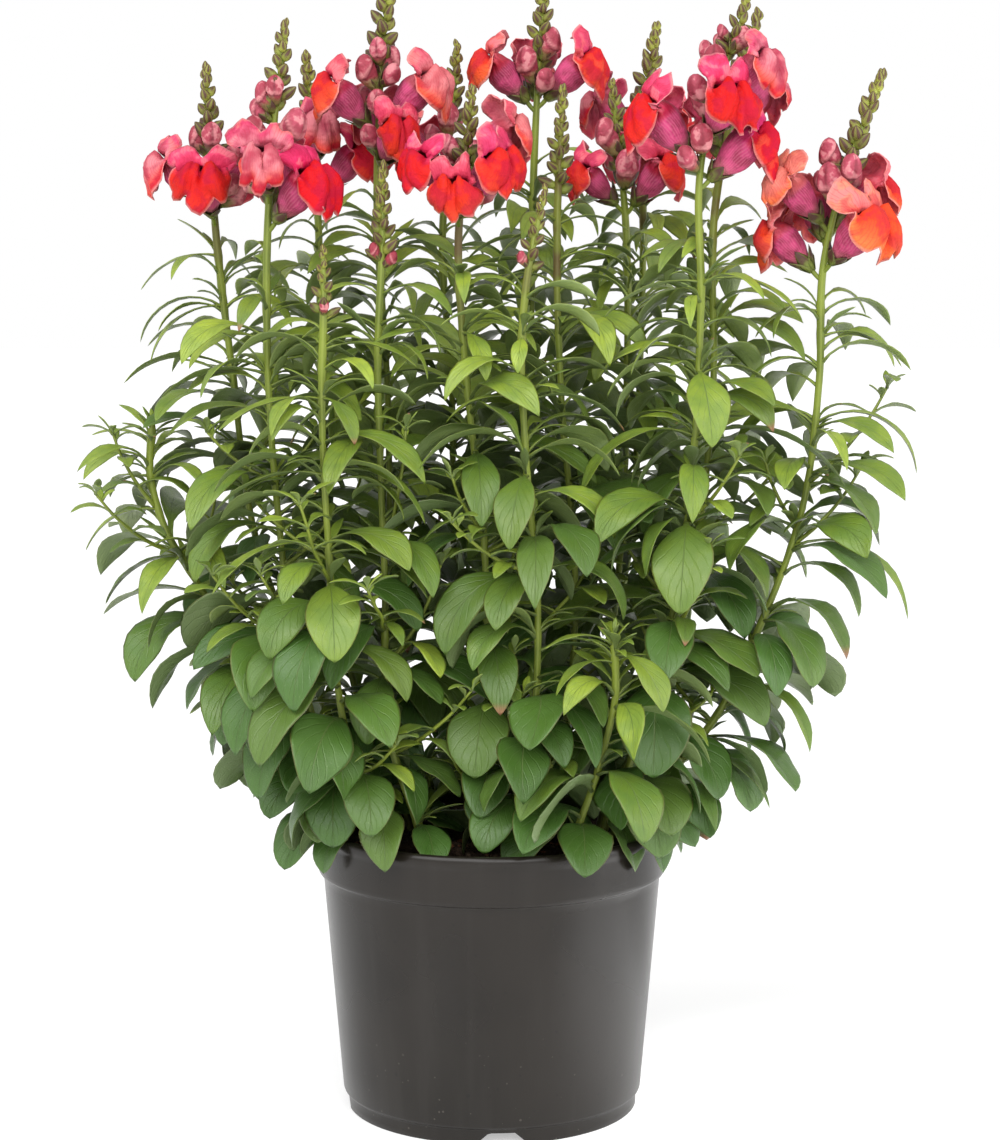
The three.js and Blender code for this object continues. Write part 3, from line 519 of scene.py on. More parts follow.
# %% Closed bloom
def make_closed_finish():
    """A closed bloom is dusty mauve pink, yellow green at its foot, and darkened in its folds by painted
    shade.
    Its dark and pale mottling is partly its own colour and partly painted shade and highlight.
    """
    material, tree, shader = new_material("closed_petal", Specular_IOR_Level=0.25)
    along, seam, fold, own = read_note(tree)
    tone = read_age(tree)
    grain, patches = grained(tree, 1500, 190, own)
    pink = blend(tree, tone, rgb(0.40, 0.055, 0.085), rgb(0.56, 0.095, 0.155))
    # dark mottling, partly the bloom's own tone and partly painted shade of its folds
    pink = blend(tree, times(tree, patches, 0.6), pink, rgb(0.24, 0.032, 0.045))
    # pale mottling, partly the bloom's own tone and partly painted highlight
    pale = times(tree, spread(tree, patches, 0.35, 0.0), 0.65)
    pink = blend(tree, pale, pink, rgb(0.70, 0.30, 0.31))
    foot = spread(tree, maths(tree, "MULTIPLY_ADD", patches, 0.12, along), 0.5, 0.2)
    colour = blend(tree, foot, pink, rgb(0.24, 0.19, 0.07))
    # painted shade: the third note marks the crease under the folded flap's edge and down the parting
    colour = blend(tree, times(tree, fold, 0.8), colour, rgb(0.13, 0.014, 0.024))
    colour = blend(tree, times(tree, seam, 0.65), colour, rgb(0.74, 0.30, 0.31))
    coloured(tree, shader, colour, maths(tree, "MULTIPLY_ADD", grain, 0.2, 0.38))
    bumped(tree, shader, maths(tree, "MULTIPLY_ADD", patches, 2.0, grain), 0.5, 0.0006)
    return material


CLOSED = make_closed_finish()
print("plant finishes:", LEAF.name, STEM.name, SEPAL.name, PETAL.name, CLOSED.name)

# %% [markdown]
# ## The pot's and the soil's finish
# The pot is dark grey plastic with a satin gloss, wiped but not clean: faint upright flow marks, soft
# smudges, and pale and dark specks near its foot. The soil is dark peat with lighter and redder bits.

# %% Pot plastic
def make_pot_finish():
    material, tree, shader = new_material("pot_plastic", Specular_IOR_Level=0.36)
    grain, patches = grained(tree, 2600, 14)
    colour = blend(tree, patches, rgb(0.0090, 0.0068, 0.0048), rgb(0.0135, 0.0105, 0.0078))
    place = add(tree, "TexCoord").outputs["Object"]
    stretched = add(tree, "Mapping", {"Vector": place, "Scale": (90.0, 90.0, 4.0)})
    flow = add(tree, "TexNoise", {"Vector": stretched.outputs[0], "Scale": 1.0, "Detail": 3.0})
    streaks = spread(tree, flow.outputs[0], 0.45, 0.75, 0.0, 0.35)
    colour = blend(tree, streaks, colour, rgb(0.022, 0.019, 0.016))
    height = add(tree, "SeparateXYZ", {0: place}).outputs[2]
    low_down = spread(tree, height, 0.09, 0.01, 0.0, 1.0)
    pale = use(tree, SPECKS, {"Speck scale": 420, "Cover": 0.12})
    dark = use(tree, SPECKS, {"Speck scale": 260, "Cover": 0.10})
    dusty = times(tree, pale.outputs[0], times(tree, low_down, 0.3))
    colour = blend(tree, dusty, colour, rgb(0.14, 0.125, 0.105))
    colour = blend(tree, times(tree, dark.outputs[0], 0.5), colour, rgb(0.005, 0.0045, 0.004))
    rough = maths(tree, "MULTIPLY_ADD", patches, 0.07, 0.24)
    rough = maths(tree, "MULTIPLY_ADD", low_down, 0.06, rough)
    coloured(tree, shader, colour, rough)
    bumped(tree, shader, maths(tree, "ADD", flow.outputs[0], grain), 0.12, 0.0002)
    return material


POT_PLASTIC = make_pot_finish()


# %% Soil
def make_soil_finish():
    material, tree, shader = new_material("peat", Specular_IOR_Level=0.2)
    own = read_note(tree)[3]
    grain, patches = grained(tree, 700, 110, own)
    colour = blend(tree, patches, rgb(0.022, 0.013, 0.008), rgb(0.055, 0.034, 0.021))
    colour = blend(tree, spread(tree, own, 0.8, 1.0, 0.0, 0.9), colour, rgb(0.21, 0.085, 0.04))
    colour = blend(tree, spread(tree, own, 0.15, 0.0, 0.0, 0.6), colour, rgb(0.10, 0.075, 0.05))
    coloured(tree, shader, colour, maths(tree, "MULTIPLY_ADD", grain, 0.2, 0.78))
    bumped(tree, shader, grain, 0.9, 0.0012)
    return material


SOIL = make_soil_finish()


# %% Floor
FLOOR_REACH = 9.0  # metres from the middle


def make_floor():
    """A wide pale floor with the faintest unevenness."""
    material, tree, shader = new_material("pale_floor", Specular_IOR_Level=0.2, Roughness=0.8,
                                          Emission_Color=(1, 1, 1, 1), Emission_Strength=0.45)
    patches = grained(tree, 30, 3)[1]
    dim, pale = rgb(0.62, 0.62, 0.62), rgb(0.64, 0.64, 0.64)
    coloured(tree, shader, blend(tree, patches, dim, pale))
    mesh = bpy.data.meshes.new("floor")
    corners = [(FLOOR_REACH * x, FLOOR_REACH * y, 0) for x, y in ((-1, -1), (1, -1), (1, 1), (-1, 1))]
    mesh.from_pydata(corners, [], [(0, 1, 2, 3)])
    mesh.materials.append(material)
    floor = bpy.data.objects.new("floor", mesh)
    bpy.context.scene.collection.objects.link(floor)


make_floor()
print("pot, soil and floor finishes are ready")

# %% [markdown]
# ## Directions and draws
# A turn is an angle round the pot, and a rise is an angle above level, both in degrees. Nature's
# unevenness comes from a small stream of draws with a seed, so the plant grows the same every time.

# %% Directions and draws
UP = np.array([0.0, 0.0, 1.0])


def heading(turn, rise):
    """Unit directions at a turn about +Z and a rise above level."""
    t, r = np.broadcast_arrays(np.radians(turn), np.radians(rise))
    return np.stack([np.cos(t) * np.cos(r), np.sin(t) * np.cos(r), np.sin(r)], axis=-1)


def seeded_draw(seed):
    """A repeatable stream of draws between two limits."""
    state = seed

    def draw(low, high):
        nonlocal state
        state = (state * 1664525 + 1013904223) % 4294967296
        return low + (high - low) * state / 4294967296

    return draw


def on_line(pairs, x):
    """The value at x on a line through (x, value) pairs."""
    i = 0
    while i < len(pairs) - 2 and x > pairs[i + 1][0]:
        i += 1
    (x0, v0), (x1, v1) = pairs[i], pairs[i + 1]
    return v0 + (v1 - v0) * (x - x0) / (x1 - x0)


def mix(pair, u):
    return pair[0] + (pair[1] - pair[0]) * u


print("a turn of 0 heads", heading(0, 0))

# %% [markdown]
# ## Skins
# Stems, leaves, buds and petals are all lofts: rings of points joined into a closed skin. A Skin
# gathers many lofts, with each vertex's note, and becomes one mesh object at the end. It can wear two
# finishes, one for blades and one for stalks.

# %% Gathering lofts into a skin
BLADE_FINISH, STALK_FINISH = 0, 1


class Skin:
    """Vertices in millimetres about the pot's axis, faces, notes and finishes."""

    def __init__(self):
        self.verts, self.notes, self.ages = [], [], []
        self.faces, self.finishes = [], []
        self.count = 0

    def add(self, verts, faces, notes, age, finish=BLADE_FINISH):
        """notes is along, across, face and own, for each vertex or for all of them."""
        self.verts.append(verts)
        self.notes.append(np.broadcast_to(notes, (len(verts), 4)))
        self.ages.append(np.full(len(verts), age))
        for block in faces:
            self.faces += (block + self.count).tolist()
            self.finishes += [finish] * len(block)
        self.count += len(verts)

    def as_object(self, name, finishes):
        """One mesh object, smooth shaded, that carries its notes."""
        mesh = bpy.data.meshes.new(name)
        mesh.from_pydata(to_frame(np.concatenate(self.verts)).tolist(), [], self.faces)
        note = mesh.attributes.new("note", "FLOAT_COLOR", "POINT")
        note.data.foreach_set("color", np.concatenate(self.notes).astype(np.float32).ravel())
        age = mesh.attributes.new("age", "FLOAT", "POINT")
        age.data.foreach_set("value", np.concatenate(self.ages).astype(np.float32))
        for finish in finishes:
            mesh.materials.append(finish)
        mesh.polygons.foreach_set("material_index", self.finishes)
        mesh.polygons.foreach_set("use_smooth", [True] * len(mesh.polygons))
        made = bpy.data.objects.new(name, mesh)
        bpy.context.scene.collection.objects.link(made)
        return made


def closed_loft(rings, start=None, end=None):
    """Vertices and faces of a closed skin through rings, each counter-clockwise from the far end."""
    rows, sides = rings.shape[:2]
    index = np.arange(rows * sides).reshape(rows, sides)
    after = np.roll(index, -1, axis=1)
    quads = np.stack([index[:-1], after[:-1], after[1:], index[1:]], axis=-1).reshape(-1, 4)
    first, last = rows * sides, rows * sides + 1
    start = rings[0].mean(axis=0) if start is None else start
    end = rings[-1].mean(axis=0) if end is None else end
    near = np.stack([np.full(sides, first), after[0], index[0]], axis=-1)
    far = np.stack([np.full(sides, last), index[-1], after[-1]], axis=-1)
    return np.concatenate([rings.reshape(-1, 3), [start, end]]), (quads, near, far)


def ring_notes(along, across, face, own):
    """A closed loft's notes: along for each ring, across and face round a ring, and one own number."""
    rows, sides = len(along), len(across)
    notes = np.zeros((rows * sides + 2, 4))
    notes[:-2, 0] = np.repeat(along, sides)
    notes[:-2, 1] = np.tile(across, rows)
    notes[:-2, 2] = np.tile(np.broadcast_to(face, sides), rows)
    notes[-1, 0] = 1
    notes[-2:, 2] = np.mean(face)
    notes[:, 3] = own
    return notes


print("a skin is lofted from rings")

# %% [markdown]
# ## Smooth lines through a few points
# A stem or a petal is set by a few points and bends smoothly through them. A Catmull-Rom curve does
# that: it passes through every point, and its slope at each one comes from the two neighbours.

# %% Smooth resampling
def smooth(points, samples, axis=0):
    """Points resampled along an axis by a Catmull-Rom curve through them."""
    points = np.moveaxis(np.asarray(points, float), axis, 0)
    count = len(points)
    padded = np.concatenate([[2 * points[0] - points[1]], points, [2 * points[-1] - points[-2]]])
    place = np.linspace(0, count - 1, samples)
    i = np.minimum(place.astype(int), count - 2)
    u = (place - i).reshape((-1,) + (1,) * (points.ndim - 1))
    a, b, c, d = (padded[i + k] for k in range(4))
    curve = b + 0.5 * u * (c - a + u * (2 * a - 5 * b + 4 * c - d + u * (3 * (b - c) + d - a)))
    return np.moveaxis(curve, 0, axis)


def rings_along(centres, radii, sides, turn=0.0):
    """Round rings about a path, each square to it and with its own radius."""
    centres = np.asarray(centres, float)
    along = np.gradient(centres, axis=0)
    along /= np.linalg.norm(along, axis=1, keepdims=True)
    start = np.array([0.0, 1.0, 0.0]) if abs(along[0][1]) < 0.9 else np.array([1.0, 0.0, 0.0])
    side = np.cross(start, along)
    side /= np.linalg.norm(side, axis=1, keepdims=True)
    other = np.cross(along, side)
    angle = np.radians(turn) + 2 * np.pi * np.arange(sides) / sides
    spoke = side[:, None] * np.cos(angle)[None, :, None] + other[:, None] * np.sin(angle)[None, :, None]
    radii = np.broadcast_to(np.asarray(radii, float), (len(centres),))
    return centres[:, None] + spoke * radii[:, None, None]


bent = smooth([[0, 0], [1, 2], [3, 1]], 5)
print("smooth() passes through its middle point:", np.allclose(bent[2], [1, 2]))

# %% [markdown]
# ## The stems, as planted
# This is the planting plan: the foot of each stem in the soil, the points it rises through, the height
# of its neck, where leaves give way to flowers, and what it carries. It is the same plan that the
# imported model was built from, so every finer piece can find its place.

# %% The planting plan
SOIL_TOP = 146.0
ROOT_DEPTH = 22.0
# a leaf is its height, turn, length, width, rise and fall; an open bloom its height, turn, pitch and scale;
# a closed bloom its height, turn and scale
STEMS = [
    {"foot": (-60, 12), "neck": 470, "turn": 20, "seed": 11, "tone": 0.15,
     "up": [(-84, 14, 200), (-126, 14, 300), (-141, 12, 407), (-148, 8, 476), (-152, 5, 562)],
     "leaves": [(465, 185, 48, 8, 12, -60), (438, 190, 54, 8.5, 5, -80), (395, 165, 58, 24, 20, -70)],
     "blooms": [(490, 184, 0, 0.92), (480, -98, 4, 1), (487, 70, 0, 0.95)],
     "closed": [(514, 165, 0.8), (516, -80, 0.8)]},
    {"foot": (-58, -28), "neck": 468, "turn": 75, "seed": 23, "tone": 0.1,
     "up": [(-88, -34, 200), (-104, -38, 260), (-112, -38, 324), (-117, -38, 404), (-117, -35, 474),
            (-113, -34, 530), (-107, -32, 583)],
     "leaves": [(237, -128, 50, 25, -10, -62), (186, -112, 46, 27, 5, -88), (404, 176, 60, 15, 20, -45)],
     "blooms": [(492, -92, 0, 0.95), (477, -28, 4, 1.08), (486, 82, 0, 1)],
     "closed": [(512, 205, 1), (517, -20, 1.05), (536, 190, 0.75), (540, -90, 0.7)]},
    {"foot": (-46, 34), "neck": 478, "turn": 40, "seed": 37, "tone": 0.1,
     "up": [(-70, 46, 200), (-90, 62, 290), (-96, 68, 383), (-97, 70, 481), (-103, 70, 573)],
     "blooms": [(494, -12, 6, 0.98), (511, -78, 8, 0.88), (497, 118, 0, 0.95)],
     "closed": [(528, 20, 0.85), (524, 190, 0.8)]},
    {"foot": (-28, 14), "neck": 494, "turn": 10, "seed": 41, "tone": 0.45,
     "up": [(-46, 22, 210), (-55, 30, 290), (-57, 28, 387), (-62, 22, 500), (-60, 20, 553), (-55, 20, 612)],
     "blooms": [(527, 188, 6, 1), (530, -14, 2, 1.06), (508, -62, 0, 0.95), (514, 96, 0, 1)],
     "closed": [(549, 205, 0.9), (564, -100, 0.7), (556, 12, 0.8)]},
    {"foot": (-36, -42), "neck": 446, "turn": 55, "seed": 53, "tone": 0.3,
     "up": [(-53, -48, 210), (-56, -50, 301), (-58, -50, 359), (-59, -48, 418), (-57, -45, 462),
            (-56, -44, 511)],
     "leaves": [(250, -38, 44, 20, 10, -52), (246, -98, 52, 24, 5, -88), (203, -34, 46, 24, 5, -55)],
     "closed": [(461, 200, 0.45), (458, -10, 0.45)]},
    {"foot": (-12, 48), "neck": 480, "turn": 0, "seed": 67, "tone": 0.3,
     "up": [(-18, 66, 210), (-22, 82, 290), (-23, 85, 391), (-28, 82, 470), (-24, 80, 528), (-19, 78, 579)],
     "blooms": [(504, 192, 4, 0.95), (490, 60, 0, 0.95), (500, 128, 2, 0.95)],
     "closed": [(538, 188, 0.7), (526, -92, 0.9)]},
    {"foot": (-4, -24), "neck": 472, "turn": 85, "seed": 71, "tone": 0.4,
     "up": [(-2, -36, 210), (-4, -42, 317), (-14, -40, 412), (-17, -36, 479), (-14, -35, 510),
            (-10, -34, 550)],
     "leaves": [(231, -97, 58, 34, 5, -89), (363, -84, 62, 20, 10, -89), (425, -68, 42, 12, 10, -88),
                (182, -68, 40, 26, 10, -75), (318, 214, 58, 20, 20, -70)],
     "blooms": [(506, 12, 4, 0.95), (488, -16, 0, 1.02), (480, -58, -4, 0.85), (492, 205, 0, 0.85)],
     "closed": [(500, -92, 0.65), (512, 165, 0.7)]},
    {"foot": (-56, -46), "neck": 430, "turn": 5, "seed": 83, "tone": 0.3,
     "up": [(-76, -60, 215), (-84, -70, 314), (-87, -70, 393), (-86, -68, 434), (-86, -66, 468)],
     "leaves": [(194, -75, 52, 27, 20, -88), (297, -86, 60, 28, 8, -89), (354, -14, 66, 14, 25, -75),
                (354, 190, 62, 13, 15, -52), (393, 194, 58, 13, 10, -42), (393, -48, 38, 12, 5, -86),
                (418, -6, 52, 10, 25, -46), (316, 184, 70, 12, 20, -62), (313, -12, 62, 14, 20, -66)],
     "closed": [(434, -80, 0.4)]},
    {"foot": (14, 42), "neck": 520, "turn": 60, "seed": 97, "tone": 0.6,
     "up": [(20, 56, 220), (22, 66, 320), (22, 72, 420), (23, 72, 500), (25, 72, 550), (29, 70, 612)],
     "blooms": [(543, 184, 4, 1), (545, -10, 0, 1.02), (546, 92, 0, 0.98)],
     "closed": [(555, 225, 0.95), (568, -20, 0.85)]},
    {"foot": (30, 6), "neck": 498, "turn": 30, "seed": 101, "tone": 0.3,
     "up": [(42, 2, 220), (45, 0, 300), (38, 0, 381), (35, 0, 482), (38, 0, 552)],
     "leaves": [(482, 8, 40, 8, 30, -40), (455, 10, 46, 10, 35, -70)]},
    {"foot": (12, -54), "neck": 448, "turn": 15, "seed": 113, "tone": 0.3,
     "up": [(23, -58, 230), (24, -60, 290), (18, -60, 361), (16, -58, 428), (20, -55, 464), (28, -52, 499)],
     "leaves": [(352, -100, 60, 21, 10, -89), (423, -92, 30, 9, 10, -88), (390, -10, 60, 13, 30, -60),
                (392, 186, 44, 10, 20, -55), (300, 232, 52, 20, 15, -75), (236, -30, 62, 20, 15, -86)],
     "closed": [(458, 200, 0.4)]},
    {"foot": (44, 34), "neck": 476, "turn": 70, "seed": 127, "tone": 0.25,
     "up": [(60, 42, 210), (72, 52, 300), (75, 55, 384), (74, 52, 481), (66, 50, 557)],
     "blooms": [(487, 196, 0, 0.85), (486, -26, 6, 0.95), (496, 84, 0, 0.95)],
     "closed": [(514, 200, 1), (497, -84, 1), (520, 10, 0.8)]},
    {"foot": (34, 62), "neck": 506, "turn": 25, "seed": 131, "tone": 0.2,
     "up": [(56, 78, 210), (78, 92, 290), (84, 98, 382), (86, 98, 475), (86, 96, 546), (93, 94, 590)],
     "blooms": [(520, 60, 0, 0.95), (524, 150, 2, 0.95)],
     "closed": [(536, 0, 0.8)]},
    {"foot": (58, -32), "neck": 470, "turn": 80, "seed": 149, "tone": 0.12,
     "up": [(80, -40, 215), (98, -43, 290), (106, -45, 364), (109, -45, 443), (109, -42, 515),
            (119, -40, 556), (132, -38, 595)],
     "leaves": [(326, -95, 70, 32, 5, -89), (405, -88, 60, 23, 5, -89), (370, -20, 92, 20, 30, -62),
                (372, 188, 78, 18, 25, -80), (242, -104, 72, 38, 5, -88), (268, -30, 58, 34, 10, -52),
                (452, -4, 60, 11, 20, -60), (452, 192, 56, 11, 10, -50)],
     "blooms": [(510, 190, 6, 1.12), (541, -20, 0, 0.92), (521, -48, 2, 1.02), (499, -2, 0, 1.12)],
     "closed": [(549, -104, 0.95), (560, 180, 0.7), (566, -10, 0.7)]},
    {"foot": (58, 2), "neck": 498, "turn": 45, "seed": 151, "tone": 0.2,
     "up": [(86, -2, 215), (107, -6, 290), (118, -12, 389), (119, -10, 494), (130, -8, 552), (141, -8, 590)],
     "blooms": [(512, 92, 0, 1), (530, 40, 0, 0.95)],
     "closed": [(546, 80, 0.8)]},
    {"foot": (64, -12), "neck": 446, "turn": 90, "seed": 163, "tone": 0.85,
     "up": [(90, -18, 180), (116, -22, 212), (141, -28, 264), (164, -30, 329), (173, -28, 400),
            (175, -25, 462), (188, -24, 515), (205, -22, 558)],
     "leaves": [(272, -52, 58, 29, 15, -89), (345, -26, 52, 23, 20, -86), (312, -8, 84, 14, 25, -86),
                (378, -4, 72, 12, 35, -88), (423, 0, 50, 8, 25, -66), (436, 184, 40, 7, 20, -62),
                (194, -118, 36, 16, 0, -89), (188, -62, 50, 11, 10, -80), (198, -20, 58, 11, 15, -76),
                (236, -26, 64, 16, 20, -89)],
     "blooms": [(477, 196, 4, 0.98), (452, 178, 0, 1), (474, 14, 4, 1.02), (456, -44, 0, 1.14),
                (468, 96, 0, 1)],
     "closed": [(488, -118, 1), (503, 182, 0.9), (498, -62, 0.85), (493, -12, 0.85)]},
    {"foot": (-66, 0), "neck": 372, "turn": 0, "seed": 173, "tone": 0.3,
     "up": [(-94, -4, 190), (-124, -10, 237), (-154, -12, 283), (-177, -12, 324), (-183, -12, 351),
            (-181, -12, 377)],
     "leaves": [(348, 182, 32, 10, 10, -70), (330, 185, 48, 8, 10, -70), (305, 190, 50, 17, 5, -70),
                (368, 180, 32, 6, 30, -22), (250, 200, 46, 22, 0, -80), (235, 195, 44, 16, 0, -42)]},
    {"foot": (42, -54), "neck": 268, "turn": 35, "seed": 181, "tone": 0.3,
     "up": [(56, -68, 200), (64, -80, 240), (63, -84, 272)],
     "leaves": [(262, -46, 48, 18, 10, -82), (258, 200, 40, 9, 20, -70)]},
]
for stem in STEMS:
    for kind in ("leaves", "blooms", "closed"):
        stem.setdefault(kind, [])
print(len(STEMS), "stems,", sum(len(stem["blooms"]) for stem in STEMS), "open blooms")

# %% [markdown]
# ## Up a stem
# Two centre lines are kept for a stem. The plain one runs straight from point to point, as the packed
# model's does, and is used to find where a leaf starts. The smooth one bends through the same points,
# and every finer piece is shifted onto it.

# %% Centre lines and thickness
STEM_RADIUS = {"foot": 3.1, "neck": 2.3, "tip": 1.5}


def stem_points(stem):
    x, y = stem["foot"]
    return np.array([(x, y, SOIL_TOP - ROOT_DEPTH), (x, y, SOIL_TOP + 2), *stem["up"]], float)


def plain_at(stem, z):
    """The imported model's centre line, read by height."""
    points = stem_points(stem)
    return np.array([on_line(list(zip(points[:, 2], points[:, axis])), z) for axis in range(2)] + [z])


def smooth_at(stem, z):
    """The smooth centre line, read by height."""
    points = stem_points(stem)
    steps = np.diff(points, axis=0)
    slopes = steps[:, :2] / steps[:, 2:]
    weights = steps[:, 2:]
    inner = (slopes[:-1] * weights[1:] + slopes[1:] * weights[:-1]) / (weights[:-1] + weights[1:])
    inner[0] = slopes[1] * 0.4
    slope = np.concatenate([[[0, 0]], inner, slopes[-1:]])
    i = int(np.clip(np.searchsorted(points[:, 2], z) - 1, 0, len(steps) - 1))
    h = steps[i, 2]
    u = (z - points[i, 2]) / h
    place = ((2 * u**3 - 3 * u**2 + 1) * points[i, :2] + (u**3 - 2 * u**2 + u) * h * slope[i]
             + (3 * u**2 - 2 * u**3) * points[i + 1, :2] + (u**3 - u**2) * h * slope[i + 1])
    return np.array([*place, z])


def stem_tip(stem):
    return stem["up"][-1][2]


def stem_radius(stem, z):
    """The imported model's radius, measured at the corners of its square tube."""
    line = [(SOIL_TOP, STEM_RADIUS["foot"]), (stem["neck"], STEM_RADIUS["neck"]),
            (stem_tip(stem), STEM_RADIUS["tip"])]
    return on_line(line, max(z, SOIL_TOP))


SPIKE_ABOVE, SPIKE_SHORTEST = 6, 20


def spike_foot(stem):
    """The height of a spike's lowest buds, above the last bloom."""
    heights = [bloom[0] for bloom in stem["blooms"]] + [bloom[0] for bloom in stem["closed"]]
    return max([stem["neck"], *heights]) + SPIKE_ABOVE


def has_spike(stem):
    return stem_tip(stem) - spike_foot(stem) > SPIKE_SHORTEST


apart = max(np.linalg.norm(smooth_at(stem, z) - plain_at(stem, z))
            for stem in STEMS for z in np.arange(SOIL_TOP, stem_tip(stem), 10.0))
print("the two centre lines are at most", round(apart, 1), "mm apart")

# %% [markdown]
# ## A leaf's midrib
# A leaf leaves its stem at a rise, bends down towards its fall, curls sideways and rolls a little. The
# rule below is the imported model's own, so each finer blade lies where its plain one does.

# %% The midrib and the blade's outline
BEND = 0.9
FOLD = 0.22
STALK_END = 0.1
MIDRIB_STEPS = 24
STEP_PLACES = np.linspace(0, 1, MIDRIB_STEPS + 1)


def leaf_midrib(leaf):
    """Points up the midrib, and the across and face directions at each."""
    t = STEP_PLACES
    turn = leaf["turn"] + leaf["curl"] * t
    along = heading(turn, leaf["rise"] + (leaf["fall"] - leaf["rise"]) * t**BEND)
    level = heading(turn + 90, 0)
    lift = np.cross(along, level)
    roll = np.radians(leaf["roll"] * t)[:, None]
    across = level * np.cos(roll) + lift * np.sin(roll)
    face = np.cross(along, across)
    travel = np.concatenate([[[0, 0, 0]], np.cumsum(along[:-1], axis=0)])
    return leaf["root"] + travel * leaf["long"] / MIDRIB_STEPS, across, face


def fine_outline(t, slender):
    """The finer blade's half-width: blunt at the tip on a broad leaf, drawn out on a slender one."""
    u = np.clip((t - STALK_END) / (1 - STALK_END), 0, 1) ** 1.12
    return np.sin(np.pi * u).clip(0) ** np.where(u < 0.5, 1.15, 0.70 + 0.28 * slender) * 1.02


widest = STEP_PLACES[np.argmax(fine_outline(STEP_PLACES, 0.5))]
print("the outline is widest at", widest.round(2), "of a leaf's length")

# %% [markdown]
# ## Which way each leaf was swung
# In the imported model, a leaf that would have crossed its neighbour was swung or lifted to a free place.
# The finer leaf has to follow. So each possible setting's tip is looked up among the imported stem's
# corners, and the setting whose tip is there is the one that was used.

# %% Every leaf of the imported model
PAIR_SPACING = 48
PAIR_START = 0.45
ROOT_INSET = 0.4
SHOWY_HEIGHT, SHOWY_TURN = 16, 52
LEAF_LONG = [(0, 52), (0.35, 70), (0.7, 66), (1, 45)]
LEAF_WIDE = [(0, 31), (0.35, 30), (0.6, 22.5), (0.8, 14), (1, 8)]
LEAF_RISE = [(0, 25), (0.5, 40), (1, 50)]
LEAF_FALL = [(0, -88), (0.5, -88), (1, -78)]


def leaf_at(stem, z, turn, long, wide, rise, fall, curl, roll):
    root = plain_at(stem, z) + heading(turn, 0) * ROOT_INSET * stem_radius(stem, z)
    return {"z": z, "root": root, "turn": turn, "long": long, "wide": wide, "rise": rise, "fall": fall,
            "curl": curl, "roll": roll}


def crowds(showy_leaf, leaf):
    """Whether a leaf stands too near a showy one."""
    aside = math.radians(showy_leaf["turn"] - leaf["turn"])
    is_level = abs(showy_leaf["z"] - leaf["z"]) < SHOWY_HEIGHT
    return is_level and math.cos(aside) > math.cos(math.radians(SHOWY_TURN))


def planned_leaves(stem):
    """The showy leaves of the plan, then opposite pairs, each pair a quarter turn on."""
    draw = seeded_draw(stem["seed"])
    showy = [leaf_at(stem, *leaf, draw(-18, 18), draw(-14, 14)) for leaf in stem["leaves"]]
    pairs = []
    room = stem["neck"] - SOIL_TOP
    count = math.floor(room / PAIR_SPACING + 0.5)
    for k in range(count):
        for half in (0, 180):
            h = (k + PAIR_START + draw(-0.12, 0.12)) / count
            z = SOIL_TOP + room * h
            size = draw(0.78, 1.12)
            turn = stem["turn"] + 90 * k + half + draw(-16, 16)
            wide = on_line(LEAF_WIDE, h) * size * draw(0.75, 1.05)
            rise = on_line(LEAF_RISE, h) + draw(-14, 14)
            fall = on_line(LEAF_FALL, h) + draw(-8, 16)
            leaf = leaf_at(stem, z, turn, on_line(LEAF_LONG, h) * size, wide, rise, fall, draw(-30, 30),
                           draw(-42, 42))
            if not any(crowds(other, leaf) for other in showy):
                pairs.append(leaf)
    return showy + pairs


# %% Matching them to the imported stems
TRIES = [(swing, lift) for lift in (0, 22, -14, 44) for swing in (0, 12, -12, 24, -24, 36, -36, 48, -48)]
SAME_PLACE = 0.35  # millimetres


def corners_of(node):
    """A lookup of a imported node's corners, in millimetres about the pot's axis."""
    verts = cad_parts[node].data.vertices
    tree = KDTree(len(verts))
    for i, vert in enumerate(verts):
        tree.insert((np.array(vert.co) - POT_AXIS) * 1000, i)
    tree.balance()
    return tree


def settled_leaves(stem, node):
    """The stem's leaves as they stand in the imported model."""
    corners = corners_of(node)
    settled = []
    for leaf in planned_leaves(stem):
        for swing, lift in TRIES:
            tried = {**leaf, "turn": leaf["turn"] + swing, "fall": leaf["fall"] + lift}
            tip = leaf_midrib(tried)[0][-1]
            if corners.find(tip)[2] < SAME_PLACE:
                settled.append(tried)
                break
    return settled


for number, stem in enumerate(STEMS, 1):
    stem["node"] = f"leafy_stem_{number:02d}"
    stem["settled"] = settled_leaves(stem, stem["node"])
print("found", sum(len(stem["settled"]) for stem in STEMS), "leaves of",
      sum(len(planned_leaves(stem)) for stem in STEMS), "in the packed model")

# %% [markdown]
# ## A finer blade
# A real blade has a thin edge, a sunken midrib above and a raised one below, softly quilted panels
# between its side veins, and a margin that waves a little. The blade is a loft: each ring runs across
# the top from one edge to the other and back along the underside, so it is closed and has a true edge.

# %% The blade
ROW_CROWDING = 1.25  # above 1, the rows crowd towards the tip
BLADE_THICK, FOOT_THICK, RIB_THICK = 0.28, 0.5, 0.55
GROOVE_DEPTH, QUILT_DEPTH, QUILTS = 0.6, 0.12, 8
MARGIN_WAVE, MARGIN_WAVES = 0.07, 2.3


